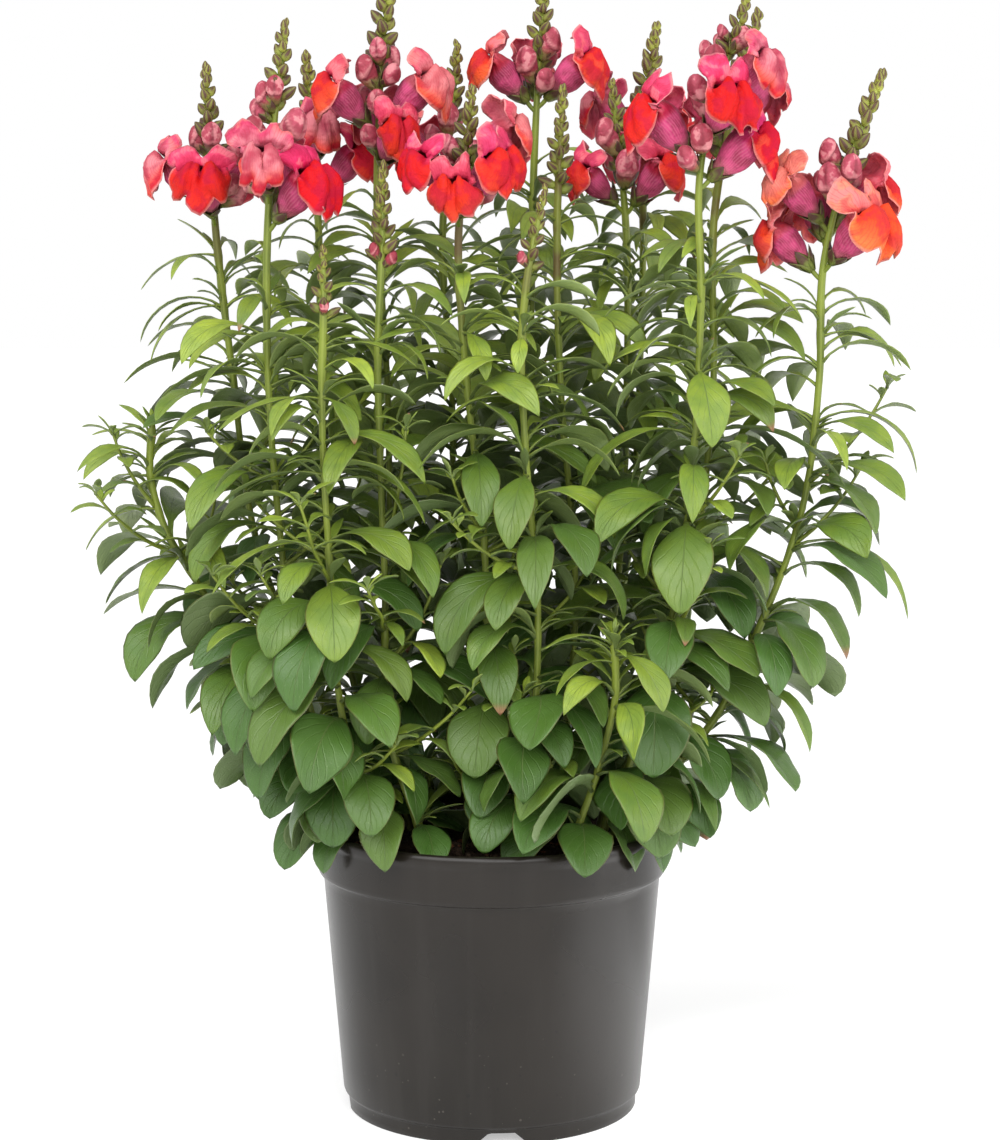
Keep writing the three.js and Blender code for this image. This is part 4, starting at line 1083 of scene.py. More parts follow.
def blade(skin, leaf, rows, half_columns, age, own, wave=1.0):
    """Adds one blade to a skin; returns its vertices and faces, for clearance tests."""
    coarse = leaf_midrib(leaf)
    tip = coarse[0][-1]
    t = 1 - (1 - np.arange(rows) / rows) ** ROW_CROWDING
    midrib, across, face = (
        np.stack([np.interp(t, STEP_PLACES, part[:, axis]) for axis in range(3)], axis=-1) for part in coarse)
    wide = leaf["wide"] / 2
    stalk = 0.75 + 0.01 * leaf["long"] if leaf["wide"] > 6 else 0.5
    slender = np.clip((0.5 - leaf["wide"] / leaf["long"]) / 0.25, 0, 1)
    half = np.maximum(stalk * (1 - 0.6 * t), wide * fine_outline(t, slender))
    s = np.sin(np.linspace(-1, 1, 2 * half_columns + 1) * np.pi / 2)
    broad = np.clip(leaf["wide"] / 20, 0.25, 1.3) * np.clip(half / wide, 0, 1)
    lift = FOLD * half[:, None] * np.abs(s) ** 1.4
    lift -= 0.10 * half[:, None] * s**4
    quilt = np.cos(2 * np.pi * (QUILTS * (t[:, None] - 0.3 * np.abs(s))) + own * 40)
    lift += QUILT_DEPTH * broad[:, None] * quilt * np.sin(np.pi * np.abs(s))
    margin = np.sin(2 * np.pi * (MARGIN_WAVES * t[:, None] + own * 7) + np.sign(s) * 1.3)
    lift += wave * MARGIN_WAVE * half[:, None] * margin * s**2
    lift -= GROOVE_DEPTH * broad[:, None] * np.exp(-((s / 0.16) ** 2))
    thick = BLADE_THICK + FOOT_THICK * np.clip(1 - t / 0.16, 0, 1)
    rib = thick[:, None] + np.outer(RIB_THICK * (1 - 0.75 * t) * np.clip(leaf["wide"] / 16, 0.4, 1),
                                    np.exp(-((s / 0.2) ** 2)))
    out = midrib[:, None] + across[:, None] * (s * half[:, None])[..., None]
    top = out + face[:, None] * (lift + thick[:, None] * (1 - s**6))[..., None]
    under = out + face[:, None] * (lift - rib * (1 - s**6))[..., None]
    rings = np.concatenate([top[:, ::-1], under[:, 1:-1]], axis=1)
    verts, faces = closed_loft(rings, start=midrib[0], end=tip)
    ring_s = np.concatenate([s[::-1], s[1:-1]])
    ring_face = np.concatenate([[0.5], np.ones(len(s) - 2), [0.5], np.zeros(len(s) - 2)])
    skin.add(verts, faces, ring_notes(t, ring_s, ring_face, own), age)
    return verts, faces


def on_smooth_line(stem, leaf):
    """The leaf, shifted from the plain centre line onto the smooth one."""
    return {**leaf, "root": leaf["root"] + smooth_at(stem, leaf["z"]) - plain_at(stem, leaf["z"])}


# %% [markdown]
# ## Keeping leaves out of each other
# The added leaves have to find free air too. Each placed blade is kept as a bounding volume tree, which
# answers quickly whether another blade cuts through it. A new leaf is swung and lifted until it cuts
# nothing, and is left out if it never does.

# %% Clearance
placed = []


def bounding(verts, faces):
    triangles = [face for block in faces for face in block.tolist()]
    return BVHTree.FromPolygons(verts.tolist(), triangles), verts.min(axis=0), verts.max(axis=0)


def is_clear(tested):
    """Whether a tested shape cuts none of the placed ones."""
    tree, low, high = tested
    for other, other_low, other_high in placed:
        if (low < other_high).all() and (high > other_low).all() and tree.overlap(other):
            return False
    return True


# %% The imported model's leaves, made finer
BROAD_LEAF, BROAD_AGE = 17, 0.28


def leaf_age(h, wide, draw):
    """Young at the neck, grown lower down, and a broad leaf is an older one."""
    older = BROAD_AGE if wide >= BROAD_LEAF else 0
    return float(np.clip(1.04 - 1.08 * h + older + draw(-0.22, 0.22), 0, 1))


def height_share(stem, z):
    return (z - SOIL_TOP) / (stem["neck"] - SOIL_TOP)


for stem in STEMS:
    stem["foliage"] = Skin()
    draw = seeded_draw(stem["seed"] + 500)
    for leaf in stem["settled"]:
        rows, half_columns = (15, 4) if leaf["wide"] >= BROAD_LEAF else (13, 3)
        age = leaf_age(height_share(stem, leaf["z"]), leaf["wide"], draw)
        leaf = on_smooth_line(stem, leaf)
        placed.append(bounding(*blade(stem["foliage"], leaf, rows, half_columns, age, draw(0, 1))))
print("fine blades:", len(placed))

# %% [markdown]
# ## Stems
# A stem is a soft tube that swells a little at each pair of leaves. It goes down into the soil, and
# thins to the tip of its spike.

# %% Stem tubes
STEM_THICKNESS = [(0, 2.35), (0.3, 1.85), (0.7, 1.75), (1, 2.1)]  # share of the way to the neck, radius
SPIKE_TIP_RADIUS = 0.9
STEM_SIDES, STEM_STEP = 10, 4.0
JOINT_SWELL, JOINT_REACH = 0.18, 3.5  # how much a joint swells, and how far up and down


def stem_tube(skin, stem):
    top = stem_tip(stem)
    heights = np.arange(SOIL_TOP - ROOT_DEPTH + 0.5, top, STEM_STEP)
    centres = np.array([smooth_at(stem, z) for z in heights])
    share = (heights - SOIL_TOP) / (stem["neck"] - SOIL_TOP)
    radii = np.interp(share, *np.array(STEM_THICKNESS).T)
    above = np.clip((heights - stem["neck"]) / max(top - stem["neck"], 1), 0, 1)
    radii = radii + (SPIKE_TIP_RADIUS - radii) * above**1.3
    joints = np.array([leaf["z"] for leaf in stem["settled"]] or [0.0])
    near = np.abs(heights[:, None] - joints[None]).min(axis=1)
    radii *= 1 + JOINT_SWELL * np.exp(-((near / JOINT_REACH) ** 2))
    rings = rings_along(centres, radii, STEM_SIDES)
    verts, faces = closed_loft(rings, end=centres[-1] + UP * 1.5)
    share = (heights - SOIL_TOP) / (top - SOIL_TOP)
    around = np.arange(STEM_SIDES) / STEM_SIDES
    notes = ring_notes(share, around, 1.0 if has_spike(stem) else 0.0, (stem["seed"] * 0.137) % 1)
    skin.add(verts, faces, notes, 0.5, STALK_FINISH)
    placed.append(bounding(verts, faces))


for stem in STEMS:
    stem_tube(stem["foliage"], stem)
print("tubes:", len(STEMS))

# %% [markdown]
# ## Sepals and small buds
# A small bud is five sepals closed round a point. It is lofted as an egg whose rings have five soft
# corners, one for each sepal. Open and closed blooms sit in five separate sepals instead, each a small
# cupped blade that hugs the tube.

# %% An egg-shaped bud
BUD_SHAPE = [(0, 0.35), (0.12, 0.72), (0.3, 0.96), (0.5, 1.0), (0.7, 0.82), (0.86, 0.5), (0.96, 0.22)]
SEPALS = 5
BUD_SIDES = 3 * SEPALS
BUD_RIDGE = 0.10


def bud(skin, root, direction, long, wide, age, own):
    """A bud of five closed sepals from a root point along a direction."""
    u, radii = np.array(BUD_SHAPE).T
    centres = root + direction * (u * long)[:, None]
    rings = rings_along(centres, radii * wide / 2, BUD_SIDES, own * 360)
    ridge = np.cos(SEPALS * 2 * np.pi * np.arange(BUD_SIDES) / BUD_SIDES)
    push = 1 + BUD_RIDGE * ridge[None] * np.sin(np.pi * u)[:, None]
    rings = centres[:, None] + (rings - centres[:, None]) * push[..., None]
    verts, faces = closed_loft(rings, start=root, end=root + direction * long)
    skin.add(verts, faces, ring_notes(u, 0.5 - 0.5 * ridge, 1, own), age)


# %% Five sepals round a tube
SEPAL_OUTLINE = [(0, 0.55), (0.2, 0.9), (0.42, 1.0), (0.64, 0.78), (0.84, 0.42)]
SEPAL_THICK = 0.5


def sepals(skin, base, direction, long, wide, radii, age, draw):
    """Five small cupped blades; radii are their distance from the axis at foot, middle and tip."""
    side = np.cross([0.0, 1.0, 0.0], direction)
    side /= np.linalg.norm(side)
    other = np.cross(direction, side)
    u, outline = np.array(SEPAL_OUTLINE).T
    outline = outline * wide / 2
    distance = smooth(np.array(radii, float)[:, None], 11)[:, 0]
    distance = np.interp(u, np.linspace(0, 1, 11), distance)
    s = np.array([-1, -0.5, 0, 0.5, 1])
    phase = draw(0, 360)
    for k in range(SEPALS):
        angle = np.radians(phase + 360 / SEPALS * k + draw(-8, 8))
        length = long * draw(0.85, 1.1)
        spoke = side * math.cos(angle) + other * math.sin(angle)
        tangent = np.cross(direction, spoke)
        bend = (s**2)[None, :] * outline[:, None] ** 2 / (2 * np.maximum(distance, 2))[:, None]
        centre = base + direction * (u * length)[:, None]
        outer = (centre[:, None] + tangent * (s * outline[:, None])[..., None]
                 + spoke * (distance[:, None] + SEPAL_THICK - bend)[..., None])
        inner = outer - spoke * SEPAL_THICK
        rings = np.concatenate([outer, inner[:, -2:0:-1]], axis=1)
        tip = base + direction * length + spoke * (radii[-1] + 0.35)
        verts, faces = closed_loft(rings, end=tip)
        skin.add(verts, faces, ring_notes(u, np.concatenate([s, s[-2:0:-1]]), 1, draw(0, 1)), age)


def flower_stalk(skin, root, seat, radius):
    """The short stalk that carries a bloom, a little bowed."""
    middle = (root + seat) / 2 - UP * np.linalg.norm(seat - root) * 0.04
    centres = smooth([root, middle, seat], 6)
    rings = rings_along(centres, np.linspace(radius, radius * 1.25, 6), 8)
    skin.add(*closed_loft(rings), (0.78, 0, 0, 0.5), 0.5, STALK_FINISH)


print("buds, sepals and stalks are ready")

# %% [markdown]
# ## Spikes
# Above the blooms, the buds stand round the stem in a spiral, each about 137 degrees on from the last,
# smaller and closer towards the tip. A narrow bract stands under each one.

# %% Spikes of small buds
GOLDEN_TURN = 137.5
BUD_SPACING, FEWEST_BUDS = 2.2, 12
# at the foot of a spike and at its tip
BUD_RISE, BUD_LONG, BUD_WIDE, BRACT_WIDE = (31, 79), (10.2, 5.0), (6.0, 3.4), (3.2, 1.8)


def spike(skin, stem):
    """Buds and bracts up the top of a stem; returns how many buds."""
    draw = seeded_draw(stem["seed"] + 900)
    low, high = spike_foot(stem) - 5, stem_tip(stem)
    count = max(FEWEST_BUDS, round((high - low) / BUD_SPACING))
    vigour = float(np.clip((high - low) / 40, 0.98, 1.18)) * (1.0 if stem["blooms"] else 0.8)
    for k in range(count):
        u = k / (count - 1)
        z = low + (high - low) * (1 - (1 - u) ** 1.1)
        turn = stem["turn"] + GOLDEN_TURN * k + draw(-10, 10)
        rise = mix(BUD_RISE, u) + draw(-9, 9)
        long = mix(BUD_LONG, u) * draw(0.85, 1.15) * vigour
        wide = mix(BUD_WIDE, u) * draw(0.9, 1.1) * vigour
        root = smooth_at(stem, min(z, high))
        age = 0.05 + 0.6 * (1 - u) + draw(-0.15, 0.2)
        seat = root + heading(turn, 0) * mix((1.4, 0.3), u)
        bud(skin, seat, heading(turn, rise), long, wide, age, draw(0, 1))
        bract = {"root": root - UP * 1.6, "turn": turn + draw(-10, 10), "rise": rise - 18,
                 "fall": rise + 24, "long": long * 1.05, "wide": mix(BRACT_WIDE, u), "curl": 0, "roll": 0}
        blade(skin, bract, 5, 1, 0.2, draw(0, 1), 0.0)
    return count


for stem in STEMS:
    stem["buds"] = Skin()
    if has_spike(stem):
        stem["bud_count"] = spike(stem["buds"], stem)
print("spike buds:", sum(stem.get("bud_count", 0) for stem in STEMS))

# %% [markdown]
# ## Closed blooms
# A bloom that hasn't opened is a pouch. Its upper lip is folded down over the lower one, and the edge
# of that flap shows as a raised seam round its front.

# %% The pouch
CLOSED_LONG, CLOSED_WIDE, CLOSED_RISE = 28, 12.4, 64
POUCH = [
    (0, 0.42), (0.12, 0.64), (0.3, 0.88), (0.48, 1.0), (0.64, 0.97), (0.78, 0.82), (0.9, 0.56), (0.98, 0.26)]


def pouch(root, turn, rise, scale, draw, rows=19, sides=28):
    """The skin of a closed bloom: vertices, faces and notes, with its foot."""
    direction, outward = heading(turn, rise), heading(turn, rise - 90)
    long = CLOSED_LONG * scale
    u = np.linspace(0, 1, rows + 1)[:-1] ** 0.92
    foot, top = root + direction * long * 0.2, root + direction * long
    centres = foot + (top - foot) * u[:, None] + outward * long * 0.06 * np.sin(np.pi * u)[:, None]
    rings = rings_along(centres, np.interp(u, *np.array(POUCH).T) * CLOSED_WIDE * scale / 2, sides)
    spokes = rings - centres[:, None]
    units = spokes / np.maximum(np.linalg.norm(spokes, axis=-1, keepdims=True), 1e-6)
    facing, beside = (units * outward).sum(axis=-1), (units * heading(turn + 90, 0)).sum(axis=-1)
    edge = u[:, None] - (0.70 - 0.26 * facing - 0.12 * np.abs(beside))
    flap = 1 / (1 + np.exp(-edge * 45))
    parting = np.exp(-((beside / 0.18) ** 2))
    nose = np.clip(facing, 0, 1) * np.exp(-(((u[:, None] - 0.40) / 0.15) ** 2))
    push = 0.93 + 0.19 * flap - 0.16 * parting * flap + 0.18 * nose - 0.10 * parting * nose
    push += 0.07 * np.sin(7 * u[:, None] + 4 * beside + draw(0, 6)) * (1 - u[:, None])
    push += 0.05 * np.sin(9 * beside + 5 * u[:, None] + draw(0, 6))
    verts, faces = closed_loft(centres[:, None] + spokes * push[..., None], end=top)
    notes = np.zeros((len(verts), 4))
    notes[:-2, 0] = np.repeat(u, sides)
    notes[:-2, 1] = np.exp(-(((edge - 0.05) / 0.05) ** 2)).ravel()
    # the third note is a mask for painted shade, in the crease just under the flap's edge and down the
    # parting
    notes[:-2, 2] = np.clip(np.exp(-(((edge + 0.03) / 0.035) ** 2)) + 0.8 * parting * flap, 0, 1).ravel()
    notes[-1, 0] = 1
    notes[:, 3] = draw(0, 1)
    return verts, faces, notes, foot


def seat_closed_bloom(stem, root, foot, direction, scale, draw):
    """The stalk and the sepals that hold a closed bloom."""
    flower_stalk(stem["buds"], root, foot, 0.95)
    base = root + direction * CLOSED_LONG * scale * 0.15
    radii = [1.4 * scale, 4.0 * scale, 5.6 * scale]
    sepals(stem["buds"], base, direction, 10.5 * scale, 6.4 * scale, radii, 0.8, draw)


def closed_bloom(stem, z, turn, scale, draw):
    """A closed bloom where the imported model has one."""
    root, rise = smooth_at(stem, z), CLOSED_RISE + draw(-9, 9)
    verts, faces, notes, foot = pouch(root, turn, rise, scale, draw)
    placed.append(bounding(verts, faces))
    stem["closed_blooms"].add(verts, faces, notes, draw(0, 1))
    seat_closed_bloom(stem, root, foot, heading(turn, rise), scale, draw)


for stem in STEMS:
    stem["closed_blooms"] = Skin()
    draw = seeded_draw(stem["seed"] + 1300)
    for z, turn, scale in stem["closed"]:
        closed_bloom(stem, z, turn, scale, draw)
print("closed blooms:", sum(len(stem["closed"]) for stem in STEMS))

# %% [markdown]
# ## An open bloom
# A snapdragon bloom is one tube that opens in two lips. The upper lip rises and its two lobes fold
# back. The lower lip first swells forward into the palate, two humps that close the mouth, and then
# falls in three lobes. A net of points sets one half: its rows run from the tube's foot to the rim, and
# its columns run from the top of the bloom round its side to its chin. The net is mirrored, smoothed
# both ways, ruffled at its rim, and given the thickness of a petal.

# %% The net of one half
MOUTH = 4  # the row of the mouth
NET = {
    # turn from the top, in degrees: mouth, then out to the rim, as forward, across and up
    0: [(7.1, 0, 18.7), (12.2, 0, 21.0), (17.6, 0, 21.4), (20.8, 0, 22.4), (20.2, 0, 25.6), (17.0, 0, 28.4)],
    14: [(7.3, 2.0, 18.5), (12.3, 2.6, 21.1), (17.8, 3.1, 22.0), (20.8, 3.7, 23.8), (19.6, 4.4, 28.6),
         (14.6, 4.9, 32.6)],
    32: [(8.0, 4.4, 17.8), (12.6, 5.9, 20.4), (17.6, 7.0, 21.6), (20.2, 8.1, 24.0), (18.6, 9.6, 29.6),
         (12.4, 10.8, 33.6)],
    50: [(9.3, 6.5, 16.5), (13.2, 8.4, 19.0), (17.0, 9.9, 20.4), (19.2, 11.8, 22.6), (17.4, 14.4, 27.2),
         (11.6, 16.6, 30.4)],
    66: [(10.6, 7.6, 15.3), (13.9, 9.3, 17.7), (16.9, 10.9, 19.0), (18.2, 12.8, 20.4), (17.0, 15.6, 23.4),
         (12.8, 18.0, 25.4)],
    80: [(12.0, 8.1, 13.9), (14.7, 9.5, 16.2), (17.0, 10.7, 17.6), (18.0, 12.0, 18.4), (17.6, 14.0, 19.4),
         (15.8, 15.8, 19.8)],
    # the corner of the mouth
    92: [(13.2, 8.2, 12.8), (15.2, 9.4, 15.0), (17.0, 10.2, 16.2), (17.6, 11.0, 16.4), (17.6, 12.0, 16.2),
         (17.2, 13.0, 15.8)],
    # a side lobe of the lower lip, under one hump of the palate
    106: [(14.6, 7.9, 11.4), (17.0, 8.8, 15.8), (19.6, 9.6, 17.2), (21.2, 11.8, 14.8), (20.4, 14.6, 12.2),
          (17.8, 16.8, 11.4)],
    120: [(16.0, 7.0, 10.1), (18.6, 7.4, 17.0), (22.2, 8.4, 19.8), (25.0, 11.4, 14.8), (23.6, 15.2, 8.8),
          (19.0, 17.6, 5.4)],
    134: [(17.2, 5.8, 9.0), (19.6, 5.6, 18.4), (24.0, 6.6, 22.2), (28.2, 9.0, 15.0), (27.0, 12.4, 6.4),
          (22.0, 15.2, -0.4)],
    148: [(18.1, 4.3, 8.1), (20.0, 4.0, 19.0), (24.6, 4.6, 22.8), (29.4, 5.6, 15.0), (28.6, 8.0, 5.2),
          (24.2, 11.0, -2.6)],
    # the cleft, and the middle lobe
    160: [(18.6, 2.8, 7.6), (20.3, 2.7, 18.2), (24.6, 2.9, 21.2), (28.8, 3.2, 13.4), (27.6, 4.8, 4.8),
          (24.8, 7.2, 0.4)],
    168: [(18.8, 1.7, 7.4), (20.4, 1.6, 17.0), (24.2, 1.7, 19.2), (28.2, 1.8, 12.0), (28.0, 3.2, 3.2),
          (25.4, 5.6, -3.0)],
    180: [(18.9, 0, 7.3), (20.2, 0, 16.2), (23.6, 0, 17.4), (27.2, 0, 10.6), (28.0, 0, 2.2), (26.0, 0, -4.8)],
}
THROAT_RISE = 46
# distance up the throat, radius above and radius below
FOOT_ROWS = [(0, 3.0, 3.0), (4.5, 4.4, 5.8), (10, 6.6, 8.6), (15, 7.6, 9.0)]


def bloom_net():
    """All rows of one half: the tube's rings, then the lips."""
    throat = heading(0, THROAT_RISE)
    lifted = heading(0, THROAT_RISE + 90)
    columns = []
    for turn, lip in NET.items():
        angle = math.radians(turn)
        tube = []
        for distance, above, below in FOOT_ROWS:
            radius = mix((above, below), (1 - math.cos(angle)) / 2)
            spoke = lifted * math.cos(angle) * radius + np.array([0, 1.0, 0]) * math.sin(angle) * radius
            tube.append(throat * distance + spoke)
        columns.append(tube + [np.array(point, float) for point in lip])
    return np.array(columns).transpose(1, 0, 2)


HALF_NET = bloom_net()
print("the half net has", HALF_NET.shape[0], "rows and", HALF_NET.shape[1], "columns")

# %% Ruffle, mirror and thicken
PETAL_THICK = 0.45
BLOOM_ROWS, BLOOM_COLUMNS = 22, 56


def grid_normals(grid):
    """Unit normals of a grid whose columns close round."""
    along = np.gradient(grid, axis=0)
    around = np.roll(grid, -1, axis=1) - np.roll(grid, 1, axis=1)
    normal = np.cross(along, around)
    return normal / np.maximum(np.linalg.norm(normal, axis=-1, keepdims=True), 1e-9)


def bloom_grid(draw):
    """The outer face of one bloom, with a character of its own."""
    other_half = HALF_NET[:, -2:0:-1] * [1, -1, 1]
    net = np.concatenate([HALF_NET, other_half], axis=1)
    rows, columns = net.shape[:2]
    lips = np.clip((np.arange(rows) - MOUTH) / (rows - 1 - MOUTH), 0, 1)[:, None]
    jitter = np.array([[[draw(-1, 1) for _ in range(3)] for _ in range(columns)] for _ in range(rows)])
    net = net + jitter * (0.15 + 0.75 * lips**1.5)[..., None]
    # each of the four lobes swings, lifts and narrows by its own draws
    turns = np.radians([*NET, *(360 - turn for turn in list(NET)[-2:0:-1])])
    is_top = np.clip(np.cos(turns) * 2.5, 0, 1)[None, :]
    is_right = (np.sin(turns) > 0.05)[None, :]
    is_left = (np.sin(turns) < -0.05)[None, :]
    reach = lips**1.5
    for side in (is_right, is_left):
        lobe = side * is_top * reach
        net += lobe[..., None] * [draw(-5.0, 3.0), 0, draw(-2.5, 1.5)]
        net[..., 1] *= 1 - lobe * draw(-0.05, 0.35)
        lobe = side * (1 - is_top) * reach
        net += lobe[..., None] * [draw(-4.0, 4.0), 0, draw(-1.0, 5.0)]
        net[..., 1] *= 1 - lobe * draw(-0.12, 0.42)
    # resampled to even columns and rows
    closed = np.concatenate([net[:, -2:], net, net[:, :3]], axis=1)
    spaced = smooth(closed, (columns + 4) * 4 + 1, axis=1)[:, 8:-8]
    pick = np.linspace(0, spaced.shape[1] - 1, BLOOM_COLUMNS + 1)[:-1]
    whole, part = np.floor(pick).astype(int), (pick % 1)[None, :, None]
    around = spaced[:, whole] * (1 - part) + spaced[:, np.minimum(whole + 1, spaced.shape[1] - 1)] * part
    grid = smooth(around, BLOOM_ROWS, axis=0)
    # ruffled at the rim, and creased all over the lips
    t = np.linspace(0, 1, BLOOM_ROWS)[:, None]
    phi = 2 * np.pi * np.arange(BLOOM_COLUMNS)[None] / BLOOM_COLUMNS
    phase = [draw(0, 6.3) for _ in range(5)]
    ruffle = (1.2 * np.sin(3 * phi + phase[0]) + 1.1 * np.sin(6 * phi + phase[1])
              + 0.9 * np.sin(10 * phi + phase[2]) + 0.5 * np.sin(17 * phi + phase[3]))
    top_share = 0.5 + 0.5 * np.cos(phi)
    ruffle = ruffle * (0.9 + 0.4 * top_share) * np.clip((t - 0.6) / 0.4, 0, 1) ** 1.4
    crease = 0.22 * np.sin(12 * phi + 9 * t + phase[4]) * np.clip((t - 0.1) / 0.3, 0, 1)
    fold = np.sin(5 * phi + 12 * t + phase[1]) * np.sin(4 * phi - 10 * t + phase[2])
    crease += 0.85 * fold * np.clip((t - 0.45) / 0.2, 0, 1)
    crumple = np.sin(9 * phi + 19 * t + phase[3]) * np.sin(6 * phi - 23 * t + phase[0])
    crease += 0.75 * crumple * np.clip((t - 0.5) / 0.2, 0, 1)
    return grid + grid_normals(grid) * (ruffle + crease)[..., None]


def open_bloom(skin, base, turn, pitch, scale, tone, fresh, draw):
    """One open bloom, seated at a base point; a fresh one has only just opened."""
    outer = bloom_grid(draw)
    inner = outer - grid_normals(outer) * PETAL_THICK
    rows, columns = outer.shape[:2]
    t, p = np.radians(turn), -np.radians(pitch)
    spin = np.array([[math.cos(t), -math.sin(t), 0], [math.sin(t), math.cos(t), 0], [0, 0, 1]])
    tilt = np.array([[math.cos(p), 0, math.sin(p)], [0, 1, 0], [-math.sin(p), 0, math.cos(p)]])
    both = np.concatenate([outer, inner[::-1]]) * scale
    both = both @ (spin @ tilt).T + base
    index = np.arange(2 * rows * columns).reshape(2 * rows, columns)
    after = np.roll(index, -1, axis=1)
    below, below_after = np.roll(index, -1, axis=0), np.roll(after, -1, axis=0)
    quads = np.stack([index, below, below_after, after], axis=-1).reshape(-1, 4)
    along = np.linspace(0, 1, rows)
    around = 1 - np.abs(1 - 2 * np.arange(columns) / columns)
    notes = np.empty((2 * rows, columns, 4))
    notes[..., 0] = np.concatenate([along, along[::-1]])[:, None]
    notes[..., 1] = around[None]
    notes[..., 2] = np.concatenate([np.ones(rows), np.zeros(rows)])[:, None]
    notes[..., 3] = draw(0.85, 1) if fresh else draw(0, 0.75)
    skin.add(both.reshape(-1, 3), (quads,), notes.reshape(-1, 4), tone)


# %% [markdown]
# ## Finding each bloom's place
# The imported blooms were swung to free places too, so each one is found the same way, by the front of
# its palate and its top notch.

# %% Seating the blooms
CALYX_REACH = 12
SEAT_GAP = 0.3
PALATE, NOTCH = np.array([25.5, 0, 15]), np.array([15.5, 0, 28])
BLOOM_SWINGS = (0, 8, -8, 16, -16, 26, -26, 38, -38, 52, -52)
BLOOM_TRIES = [(swing, tilt) for tilt in (0, 10, -10) for swing in BLOOM_SWINGS]


def bloom_place(point, base, turn, pitch, scale):
    """A point of a bloom's own frame, in the plant's."""
    t, p = math.radians(turn), math.radians(pitch)
    x, y, z = point * scale
    x, z = x * math.cos(p) - z * math.sin(p), x * math.sin(p) + z * math.cos(p)
    return base + np.array([x * math.cos(t) - y * math.sin(t), x * math.sin(t) + y * math.cos(t), z])


def settled_bloom(stem, node, z, turn, pitch, scale):
    """The turn and pitch that a packed bloom has, and its seat."""
    corners = corners_of(node)
    best = None
    for swing, tilt in BLOOM_TRIES:
        direction = heading(turn + swing, THROAT_RISE + pitch + tilt)
        base = plain_at(stem, z) + direction * (CALYX_REACH + SEAT_GAP)
        miss = sum(corners.find(bloom_place(point, base, turn + swing, pitch + tilt, scale))[2]
                   for point in (PALATE, NOTCH))
        if best is None or miss < best[0]:
            best = (miss, turn + swing, pitch + tilt, direction, base)
    return best


bloom_pieces = []
worst = 0
for stem in STEMS:
    draw = seeded_draw(stem["seed"] + 1700)
    for z, turn, pitch, scale in stem["blooms"]:
        node = f"bloom_{len(bloom_pieces) + 1:02d}"
        miss, turn, pitch, direction, base = settled_bloom(stem, node, z, turn, pitch, scale)
        worst = max(worst, miss)
        base = base + (smooth_at(stem, z) - plain_at(stem, z))
        skin = Skin()
        tone = float(np.clip(stem["tone"] + draw(-0.2, 0.25), 0, 1))
        fresh = z == max(bloom[0] for bloom in stem["blooms"])
        open_bloom(skin, base, turn, pitch, scale, tone, fresh, draw)
        bloom_pieces.append((node, skin))
        flower_stalk(stem["buds"], smooth_at(stem, z), base - direction * 2.5, 1.1)
        sepals(stem["buds"], base - direction * 5.0, direction, 11.5, 7.4, [1.5, 4.8, 7.6], 0.85, draw)
        placed.append(bounding(np.concatenate(skin.verts), [np.array(skin.faces)]))
print("open blooms:", len(bloom_pieces), "found to within", round(worst, 3), "mm")

# %% [markdown]
# ## Younger closed blooms
# Between the open blooms and the spike the buds swell and colour, one after another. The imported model
# carries only the largest of them. The smaller ones are set in the same spiral wherever there is room.

# %% Blooms about to open
YOUNG_SWINGS = (0, 35, -35, 70, -70, 110, -110, 150)
YOUNG_ROWS, YOUNG_SIDES = 13, 20


def young_bloom(stem, z, turn, rise, scale, draw):
    """A closed bloom at the first free turn; returns whether there was one."""
    root = smooth_at(stem, z)
    for swing in YOUNG_SWINGS:
        verts, faces, notes, foot = pouch(root, turn + swing, rise, scale, draw, YOUNG_ROWS, YOUNG_SIDES)
        tested = bounding(verts, faces)
        if is_clear(tested):
            placed.append(tested)
            stem["closed_blooms"].add(verts, faces, notes, draw(0, 1))
            seat_closed_bloom(stem, root, foot, heading(turn + swing, rise), scale, draw)
            return True
    return False


def younger_blooms(stem):
    """Small closed blooms below the spike, and a few larger ones among the open blooms."""
    draw = seeded_draw(stem["seed"] + 1900)
    top = spike_foot(stem)
    low = min(bloom[0] for bloom in stem["blooms"])
    kept = 0
    for k in range(7):
        z = top - 14 + 3.2 * k
        turn = stem["turn"] + 60 + GOLDEN_TURN * k + draw(-12, 12)
        kept += young_bloom(stem, z, turn, mix((48, 58), k / 6), mix((0.72, 0.40), k / 6), draw)
    for k in range(5):
        kept += young_bloom(stem, draw(low + 8, top - 8), draw(0, 360), draw(40, 54), draw(0.7, 0.95), draw)
    return kept


younger = sum(younger_blooms(stem) for stem in STEMS if stem["blooms"])
print("younger closed blooms:", younger)

# %% [markdown]
# ## More foliage
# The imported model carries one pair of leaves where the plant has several, and no young growth. Between
# its pairs come rounds of further pairs, each turned a little more, and in the crook of most leaves
# stands a tuft of young ones. They are added last, so that they fill only what is free.

# %% Further pairs and tufts
EXTRA_TRIES = [
    (0, 0), (16, 0), (-16, 0), (0, 20), (32, 8), (-32, 8), (16, 30), (-16, 30), (45, -12), (-45, -12)]
ADDED = {"pair": 0, "tuft": 0, "shoot leaf": 0}
POT_KEEP_OUT = (88, 98, 160)  # the lip, in millimetres: inside, outside and top
FURTHER_FALL = [(0, -88), (0.5, -84), (0.75, -74), (1, -64)]
# stems show between the leaves: none hangs more squarely before its stem than this, above this height
# share, unless the stem stands further back than this
OPEN_FRONT, OPEN_ABOVE, OPEN_BEHIND = 0.72, 0.42, 20
LOW_CORNER, HIGH_CORNER = (1000 * (np.array(corner) - POT_AXIS) for corner in CAD_BOX)
SPARE = 4.0


